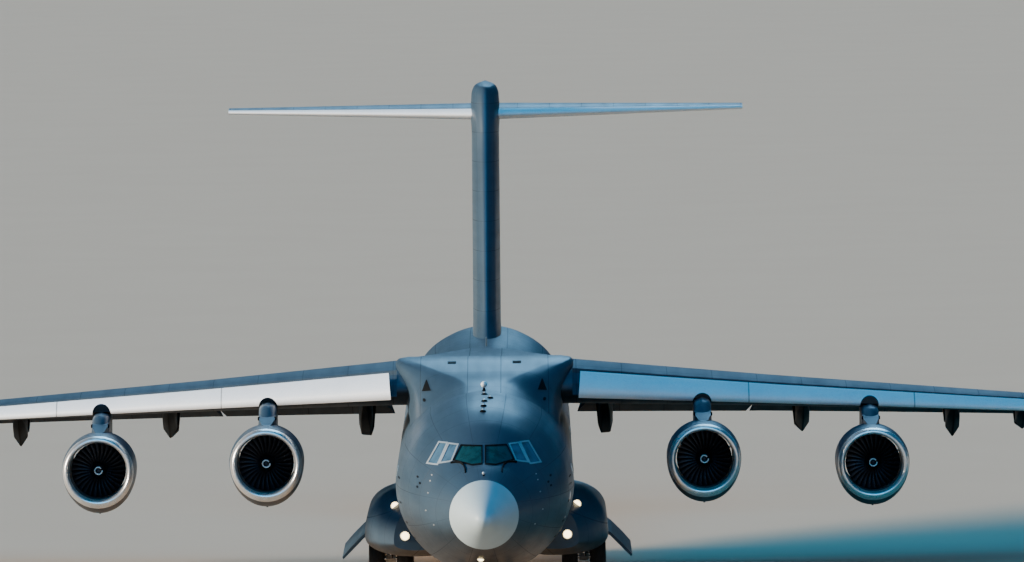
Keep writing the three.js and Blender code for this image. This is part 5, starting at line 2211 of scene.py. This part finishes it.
@dataclass
class Engine:
    """One engine: nacelle, fan, core and pylon."""

    finishes: Finishes
    number: int
    x: float
    d: float
    z: float
    blades: int = 30
    root: float = 0.2
    tip: float = 0.86
    blade_at: float = 0.96
    points: int = 96
    lip_back: float = 0.36
    duct_back: float = 3.66
    duct_radius: float = 0.972
    flatter_top: float = 0.2
    pylon_half: float = 0.276
    pylon_nose_length: float = 0.55
    pylon_steps: int = 14
    crown_from: float = 0.72

    LIP_OUT = [[0.0, 1.0, 0.0], [0.012, 1.026, 0.001], [0.035, 1.046, 0.004], [0.07, 1.06, 0.01]]
    LIP_IN = [[0.0, 0.995], [0.012, 0.975], [0.035, 0.955], [0.07, 0.94]]
    SPINNER = [(0.502, 0.02), (0.56, 0.09), (0.68, 0.19), (0.83, 0.26)]
    SHAFT = [(1.08, 0.26), (1.08, 0.1), (1.36, 0.1), (1.36, 0.0)]
    # Share of a blade's half width, share of its thickness
    BLADE_SHAPE = [(-1, 0), (-0.5, 0.8), (0, 1), (0.5, 0.8), (1, 0), (0.5, -0.4), (0, -0.6), (-0.5, -0.4)]
    LATCH = [(-0.03, 0.0), (-0.03, 0.06), (0.02, 0.06), (0.035, 0.04), (0.035, 0.0)]

    def centre(self, along: float = 0.0) -> Vector:
        """A point of the axis."""
        return at(self.x, self.d + along, self.z)

    def build(self) -> None:
        """Makes the engine's pieces."""
        self.nacelle()
        self.fan()
        self.pylon_nose()
        self.details()

    def pylon_nose(self) -> None:
        """The pylon's rounded front, which rises into the notch of the slat."""
        s = station(WING, abs(self.x))
        low, high = self.z + 0.95, s.z - 0.16
        foot, tail = self.d + 1.5, s.edge + 0.5
        turns = [k / 16 * math.pi for k in range(17)]
        rings = []
        for i in range(self.pylon_steps + 1):
            share = i / self.pylon_steps
            crown = max(0.0, (share - self.crown_from) / (1 - self.crown_from))
            half = self.pylon_half * math.sqrt(max(0.0004, 1 - crown**2))
            nose = self.pylon_nose_length * half / self.pylon_half
            front = foot + (s.edge - 0.95 - foot) * share**0.8 + 0.3 * (1 - math.sqrt(1 - crown**2))
            z = low + (high - low) * share
            curve = [at(self.x + half * math.cos(a), front + nose * (1 - math.sin(a)), z) for a in turns]
            rings.append([*curve, at(self.x - half, tail, z), at(self.x + half, tail, z)])
        dress(loft(f"pylon_nose_{self.number}", rings), self.finishes.cowl, "airframe", 50)

    def details(self) -> None:
        """Latches at the pylon's sides and the cowl's drain."""
        drain = tube("drain", [self.centre(1.5) + at(0, LENGTH / 2, z) for z in (-1.34, -1.44)], 0.03)
        parts = [drain]
        for hand in (-1, 1):
            place = at(self.x + hand * 0.26, self.d + 2.35, self.z + 1.28)
            parts.append(turned("latch", self.LATCH, place, Vector((hand, 0, 0)), 16))
        fittings = joined(f"engine_fittings_{self.number}", [finished(p, self.finishes.seal_and_hole_shade) for p in parts])
        dress(fittings, self.finishes.seal_and_hole_shade, "airframe", 50)

    def nacelle(self) -> None:
        """The cowl, its bare lip and its lining."""
        outer = [*self.LIP_OUT, *[row for row in smoothed(COWL_OUTSIDE, 6) if row[0] > 0.1]]
        inner = [*self.LIP_IN, *[row for row in smoothed(COWL_INSIDE, 5) if row[0] > 0.1]]
        profile = [row[:2] for row in outer] + list(reversed(inner))
        cowl = turned(f"cowl_{self.number}", profile, self.centre(), AHEAD, self.points)
        mesh = cowl.data
        for vertex, index in zip(mesh.vertices, range(len(outer) * self.points)):
            _, radius, belly = outer[index // self.points]
            up = (vertex.co.z - self.centre().z) / SCALE / radius
            vertex.co.z += up * (-self.flatter_top if up > 0 else 1.0) * belly * SCALE
        for finish in (self.finishes.cowl, self.finishes.lip, self.finishes.duct):
            mesh.materials.append(finish)
        for polygon in mesh.polygons:
            offset = (polygon.center - self.centre()) / SCALE
            if offset.y < self.lip_back:
                polygon.material_index = 1
            elif math.hypot(offset.x, offset.z) < self.duct_radius and offset.y < self.duct_back:
                polygon.material_index = 2
        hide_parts(f"nacelle_{self.number}")
        dress(cowl, self.finishes.cowl, "airframe", 40)

    def blade(self, number: int) -> bpy.types.Object:
        """One fan blade, twisted and swept.

        Args:
            number: its place round the fan.

        Returns:
            The object.
        """
        rings = []
        for i in range(7):
            share = i / 6
            radius = self.root + (self.tip - self.root) * share
            pitch = math.radians(28 + 34 * share)
            half, thick = 0.085 + 0.03 * share, 0.012 - 0.006 * share
            bow = 0.035 * math.sin(share * math.pi)
            ring = []
            for u, v in self.BLADE_SHAPE:
                along, across = u * half, v * thick + 0.02 * (1 - u * u)
                back = along * math.cos(pitch) - across * math.sin(pitch)
                aside = along * math.sin(pitch) + across * math.cos(pitch) + bow
                ring.append(Vector((aside, back, radius)))
            rings.append(ring)
        turn = Matrix.Rotation(number / self.blades * math.tau, 4, "Y")
        middle = self.centre(self.blade_at)
        return loft("blade", [[turn @ (p * SCALE) + middle for p in ring] for ring in rings])

    def fan(self) -> None:
        """The fan: spinner, its mark and the blades."""
        profile = [(0.5, 0.0), *[tuple(row) for row in smoothed(self.SPINNER, 5)], *self.SHAFT]
        spinner = turned("spinner", profile, self.centre(), AHEAD, 48)
        route = []
        for i in range(19):
            share = i / 18
            angle, radius = share * math.radians(330) + 0.6, 0.1 + 0.022 * share
            aside = Vector((math.cos(angle), 0, math.sin(angle))) * radius * SCALE
            route.append(self.centre(0.575 + 0.012 * share) + aside)
        parts = [finished(spinner, self.finishes.fan)]
        parts += [finished(self.blade(i), self.finishes.fan) for i in range(self.blades)]
        parts.append(finished(tube("mark", route, 0.022, 8), self.finishes.white))
        fan = joined(f"fan_blades_{self.number}", parts)
        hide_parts(f"fan_{self.number}")
        dress(fan, self.finishes.fan, f"fan_{self.number}", 40)


# Radome, fairing, sponsons


@dataclass
class Shells:
    """The radome, the wing-body fairing and the sponsons."""

    finishes: Finishes
    nose_height: float = 3.6
    nose_rise: float = 0.04

    # Limits of x, d and z: the well on the left, and what the ramp needs beside it
    WELL = ((2.3, 3.7), (20.05, 25.45), (0.5, 2.12))
    RAMP_SIDE = ((-1.77, 1.77), (29.48, 36), (0.5, 3))

    def build(self) -> None:
        """Makes the shells."""
        self.radome()
        self.fairing()
        for hand, side in SIDES:
            self.sponson(hand, side)

    def radome(self) -> None:
        """The nose cone."""
        rings = []
        for d, radius in smoothed(RADOME, 6):
            z = self.nose_height + self.nose_rise * d
            rings.append([at(across * radius, d, z + up * radius) for across, up in oval(96)])
        cone = loft("radome_shell", rings)
        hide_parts("radome")
        dress(cone, self.finishes.radome, "airframe", 40)

    def fairing(self) -> None:
        """The hump over the wing's roots."""
        fairing = hump("wing_root_fairing", 0.0)
        wings = [wing_solid(f"fairing_wing_{side}", side, GAP) for _, side in SIDES]
        boolean(fairing, [hull("under_fairing", GAP), *wings])
        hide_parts("wing_fairing")
        dress(fairing, self.finishes.fairing, "airframe", 35)

    def sponson(self, hand: str, side: int) -> None:
        """The landing gear's housing on one side.

        Args:
            hand: left or right.
            side: 1 for the left, -1 for the right.
        """
        rings = []
        for d, outer, top, bottom in smoothed(SPONSON, 6):
            ring = []
            for across, up in oval(64, 2.3):
                z = SPONSON_WAIST + up * (top - SPONSON_WAIST if up > 0 else SPONSON_WAIST - bottom)
                ring.append(at(side * (SPONSON_MIDDLE + across * (outer - SPONSON_MIDDLE)), d, z))
            rings.append(ring)
        shell = loft(f"sponson_skin_{hand}", rings)
        reach, *rest = self.WELL
        well = block("well", sorted(side * x for x in reach), *rest)
        boolean(shell, [hull("beside_sponson", GAP), well, block("ramp_side", *self.RAMP_SIDE)])
        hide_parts(f"sponson_{hand}")
        dress(shell, self.finishes.body, "airframe", 30)


# Landing gear and lamps


@dataclass
class Gear:
    """Wheels with their hubs, hoses on the legs, and the lamps."""

    finishes: Finishes
    axle: float = 0.06
    main_x: float = 3.1
    main_tyre: float = 0.65
    main_width: float = 0.5
    main_track: float = 0.45
    nose_d: float = 6.5
    nose_tyre: float = 0.49
    nose_width: float = 0.42
    nose_track: float = 0.41
    bolts: int = 10

    # Where the rows of main wheels stand
    ROWS = (21.0, 22.75, 24.5)
    # Shares of a tyre's width and radius, from its middle outwards, then the same for the hub
    TREAD = [(0.0, 1.0), (0.07, 1.0), (0.085, 0.985), (0.105, 0.985), (0.12, 0.998), (0.2, 0.992)]
    SHOULDER = [(0.215, 0.975), (0.235, 0.975), (0.25, 0.982), (0.33, 0.955), (0.42, 0.9), (0.48, 0.82)]
    BEAD = [(0.495, 0.72), (0.46, 0.62)]
    DISH = [(0.4, 0.54), (0.4, 0.5), (0.36, 0.48), (0.28, 0.44), (0.24, 0.3)]
    CAP = [(0.3, 0.2), (0.36, 0.16), (0.36, 0.0)]
    # The legs' fittings: (height, radius) of collars, (d before the leg, z) of a hose, (d behind, z) of links
    COLLAR = [(0.0, 0.0), (0.0, 0.165), (0.06, 0.165), (0.08, 0.14), (0.08, 0.0)]
    NOSE_COLLAR = [(0.0, 0.0), (0.0, 0.165), (0.07, 0.165), (0.09, 0.14), (0.09, 0.0)]
    HOSE = [(0.14, 1.9), (0.19, 1.5), (0.17, 1.15), (0.2, 0.85), (0.13, 0.68)]
    LINKS = (((0.12, 1.2), (0.32, 0.98)), ((0.32, 0.98), (0.12, 0.72)))
    # Lamps in the sponsons on the left: name, x, d, z, radius
    LAMPS = [("upper", 2.86, 15.02, 2.84, 0.12), ("lower", 2.55, 14.17, 1.96, 0.13)]

    def build(self) -> None:
        """Makes wheels, leg fittings and lamps."""
        self.wheel_pair("nose_wheels", (0.0, self.nose_d), (self.nose_tyre, self.nose_width, self.nose_track))
        sizes = (self.main_tyre, self.main_width, self.main_track)
        for hand, side in SIDES:
            for row, d in enumerate(self.ROWS, start=1):
                self.wheel_pair(f"main_wheels_{hand}_{row}", (side * self.main_x, d), sizes)
                self.main_fittings(f"main_leg_fittings_{hand}_{row}", side * self.main_x, d)
        self.nose_fittings()
        self.lamps()

    def tyre_rows(self) -> list[Row]:
        """Half a tyre's outline."""
        return [*self.TREAD, *self.SHOULDER, *self.BEAD]

    def wheel(self, x: float, d: float, sizes: Row) -> list[bpy.types.Object]:
        """One tyre with its hub and bolts.

        Args:
            x: the wheel's middle.
            d: the axle's place.
            sizes: radius, width and track of the pair.

        Returns:
            Its parts, each with its finish.
        """
        radius, width, _ = sizes
        right = [(across * width, share * radius) for across, share in self.tyre_rows()]
        outline = [(-a, r) for a, r in reversed(right[1:])] + right
        outline = [(outline[0][0] + 0.02, 0.4 * radius), *outline, (outline[-1][0] - 0.02, 0.4 * radius)]
        centre = at(x, d, radius)
        parts = [finished(turned("tyre", outline, centre, Vector((1, 0, 0)), 64), self.finishes.tyre)]
        for hand in (-1, 1):
            rim = [(hand * across * width, share * radius) for across, share in (*self.DISH, *self.CAP)]
            hub = turned("hub", [(0.0, 0.0), (0.0, 0.54 * radius), *rim], centre, Vector((1, 0, 0)), 40)
            parts.append(finished(hub, self.finishes.hub))
            for i in range(self.bolts):
                turn, reach = i / self.bolts * math.tau, 0.37 * radius
                place = centre + at(0, LENGTH / 2 + reach * math.cos(turn), reach * math.sin(turn))
                ends = [place + Vector((hand * share * width * SCALE, 0, 0)) for share in (0.2, 0.3)]
                parts.append(finished(tube("bolt", ends, 0.022, 6), self.finishes.chrome))
        return parts

    def wheel_pair(self, node: str, place: Row, sizes: Row) -> None:
        """Two wheels on their axle.

        Args:
            node: the frame's node that they replace.
            place: x and d of the axle's middle.
            sizes: radius, width and track.
        """
        x, d = place
        radius, _, track = sizes
        axle = tube("axle", [at(x - track, d, radius), at(x + track, d, radius)], self.axle - 0.002, 24)
        parts = [finished(axle, self.finishes.chrome)]
        for hand in (-1, 1):
            parts += self.wheel(x + hand * track, d, sizes)
        pair = joined(f"{node}_detailed", parts)
        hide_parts(node)
        dress(pair, self.finishes.tyre, node, 30)

    def main_fittings(self, name: str, x: float, d: float) -> None:
        """The oleo, brake hose and torque links of one main leg.

        Args:
            name: the object's name.
            x: the leg's place.
            d: the same.
        """
        oleo = tube("oleo", [at(x, d, 0.78), at(x, d, 1.1)], 0.128, 28)
        collar = turned("collar", self.COLLAR, at(x, d, 1.12), UP, 28)
        hose = tube("hose", [at(x + 0.05, d - a, z) for a, z in self.HOSE], 0.016, 8)
        links = []
        for start, end in self.LINKS:
            for aside in (-0.07, 0.07):
                points = [at(x + aside, d + start[0], start[1]), at(x + aside * 0.4, d + end[0], end[1])]
                links.append(finished(tube("link", points, 0.028, 8), self.finishes.strut))
        parts = [
            finished(oleo, self.finishes.chrome),
            finished(collar, self.finishes.strut),
            finished(hose, self.finishes.hose),
            *links,
        ]
        dress(joined(name, parts), self.finishes.strut, "airframe", 40)

    def nose_fittings(self) -> None:
        """Collar and hoses of the nose leg."""
        d = self.nose_d
        parts = [finished(turned("collar", self.NOSE_COLLAR, at(0, d, 1.3), UP, 28), self.finishes.strut)]
        for x in (-0.05, 0.05):
            route = [at(x, d - 0.11, 1.95), at(x * 1.3, d - 0.16, 1.6), at(x, d - 0.14, 1.33)]
            parts.append(finished(tube("hose", route, 0.014, 8), self.finishes.hose))
        dress(joined("nose_leg_fittings", parts), self.finishes.strut, "airframe", 40)

    def lamp(self, name: str, place: Vector, radius: float) -> None:
        """A lit lamp that looks forwards, in its bezel.

        Args:
            name: the object's name.
            place: its middle, in the frame.
            radius: the lens's radius.
        """
        rim = [(0.12, 0.9), (0.0, 1.2), (-0.015, 1.12), (0.02, 0.98)]
        profile = [(0.12, 0.0), *[(d, share * radius) for d, share in rim], (0.05, 0.0)]
        bezel = turned("bezel", profile, place, AHEAD, 36)
        bulge = [(0.03 - 0.05 * math.cos(a), radius * 0.98 * math.sin(a)) for a in (0.3, 0.6, 0.9, 1.2, 1.5)]
        profile = [(-0.02, 0.0), *bulge, (0.06, radius * 0.9), (0.06, 0.0)]
        lens = turned("lens", profile, place, AHEAD, 36)
        parts = [finished(bezel, self.finishes.hub), finished(lens, self.finishes.lamp)]
        dress(joined(name, parts), self.finishes.lamp, "airframe", 50)

    def lamps(self) -> None:
        """Landing lamps in the sponsons' fronts, and one under the nose."""
        for hand, side in reversed(SIDES):
            for name, x, d, z, radius in self.LAMPS:
                self.lamp(f"landing_lamp_{name}_{hand}", at(side * x, d, z), radius)
        self.lamp("taxi_lamp_nose", at(-0.12, 2.9, 2.235), 0.1)


# Pieces kept from the frame, with better finishes


@dataclass
class KeptNodes:
    """Frame nodes that stay, each with its finish."""

    finishes: Finishes
    nodes: dict[str, bpy.types.Object]

    def finish_of(self, name: str) -> tuple[bpy.types.Material, str]:
        """Finds how a node is finished.

        Args:
            name: the node's name.

        Returns:
            Its finish and its slot.
        """
        if name.startswith("engine"):
            return self.finishes.core, "engine_metal"
        if name.startswith("pylon"):
            return self.finishes.cowl, "skin"
        if name.startswith(("main_legs", "nose_leg", "nose_steering")):
            return self.finishes.strut, "leg_paint"
        return self.finishes.plain, "skin"

    def build(self) -> None:
        """Dresses every node that is still shown."""
        for name, node in self.nodes.items():
            if node.hide_render:
                continue
            finish, slot = self.finish_of(name)
            finished(node, finish)
            shaded(node, 40)


# Studio


@dataclass
class Studio:
    """A pale floor, soft light and the camera where the photographer stood."""

    focal_pixels: float = 9757.6
    width_pixels: float = 1024.0
    sensor: float = 36.0
    distance: float = 291.0
    aside: float = 1.381
    height: float = 28.2
    yaw: float = -0.0908
    pitch: float = 3.4247
    roll: float = 0.639

    def camera(self) -> None:
        """The camera at the photo's viewing angle."""
        data = bpy.data.cameras.new("photo_camera")
        data.sensor_width = self.sensor
        data.lens = self.focal_pixels / self.width_pixels * self.sensor
        data.clip_start, data.clip_end = 1.0, 3000.0
        camera = bpy.data.objects.new("photo_camera", data)
        bpy.context.scene.collection.objects.link(camera)
        camera.location = at(self.aside, -self.distance, self.height)
        turn = Matrix.Rotation(math.radians(-self.yaw), 4, "Z")
        turn = turn @ Matrix.Rotation(math.radians(90 - self.pitch), 4, "X")
        camera.rotation_euler = (turn @ Matrix.Rotation(math.radians(-self.roll), 4, "Z")).to_euler()
        bpy.context.scene.camera = camera

    def floor(self) -> None:
        """The pale floor."""
        mesh = bpy.data.meshes.new("studio_floor")
        reach = 900.0
        corners = [(-reach, -reach, 0), (reach, -reach, 0), (reach, reach, 0), (-reach, reach, 0)]
        mesh.from_pydata(corners, [], [(0, 1, 2, 3)])
        floor = bpy.data.objects.new("studio_floor", mesh)
        bpy.context.scene.collection.objects.link(floor)
        shader = Shader("studio_floor")
        mottle = shader.noise(0.3, 3.0)
        colour = shader.mix(mottle, (0.6, 0.42, 0.29), (0.64, 0.46, 0.32))
        floor.data.materials.append(shader.surface(Base_Color=colour, Roughness=0.9))
        floor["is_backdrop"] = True

    def lights(self) -> None:
        """A low warm key, a blue fill from above, a pale back light, two for gloss alone, and the sky.

        Azimuth 0 is in front of the nose, and those over 0 are on the plane's left.
        """
        suns = [
            ("key_light", (-84, 13), 9.0, (1.0, 0.88, 0.72), 12),
            ("fill_light", (-10, 60), 2.2, (0.02, 0.48, 1.0), 60),
            ("back_light", (176, 24), 0.5, (0.3, 0.66, 1.0), 18),
            ("sheen_front", (10, 4), 1.0, (1.0, 0.95, 0.88), 80),
            ("sheen_side", (75, 2), 0.45, (1.0, 0.95, 0.88), 60),
        ]
        for name, (azimuth, elevation), energy, colour, width in suns:
            data = bpy.data.lights.new(name, "SUN")
            data.energy = energy
            data.color = colour
            data.angle = math.radians(width)
            light = bpy.data.objects.new(name, data)
            light.visible_diffuse = not name.startswith("sheen")
            bpy.context.scene.collection.objects.link(light)
            a, e = math.radians(azimuth), math.radians(elevation)
            towards = Vector((math.sin(a) * math.cos(e), -math.cos(a) * math.cos(e), math.sin(e)))
            light.rotation_euler = towards.to_track_quat("Z", "Y").to_euler()
            light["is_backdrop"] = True
        world = bpy.data.worlds.new("studio_sky")
        world.use_nodes = True
        background = world.node_tree.nodes["Background"]
        background.inputs["Color"].default_value = (0.02, 0.3, 0.7, 1.0)
        background.inputs["Strength"].default_value = 0.12
        bpy.context.scene.world = world

    def build(self) -> None:
        """Sets the studio up."""
        self.camera()
        self.floor()
        self.lights()


def main() -> None:
    """Builds the plane around its frame and reports each piece."""
    logging.basicConfig(level=logging.INFO, format="%(message)s")
    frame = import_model()
    Studio().build()
    finishes = Finishes()
    Fuselage(finishes).build()
    Wings(finishes).build()
    Tail(finishes).build()
    Shells(finishes).build()
    for number, x, d, z in ENGINES:
        Engine(finishes, number, x, d, z).build()
    Gear(finishes).build()
    KeptNodes(finishes, frame["nodes"]).build()
    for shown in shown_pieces():
        LOG.info("%s: %d faces", shown.name, len(shown.data.polygons))


if __name__ == "__main__":
    main()
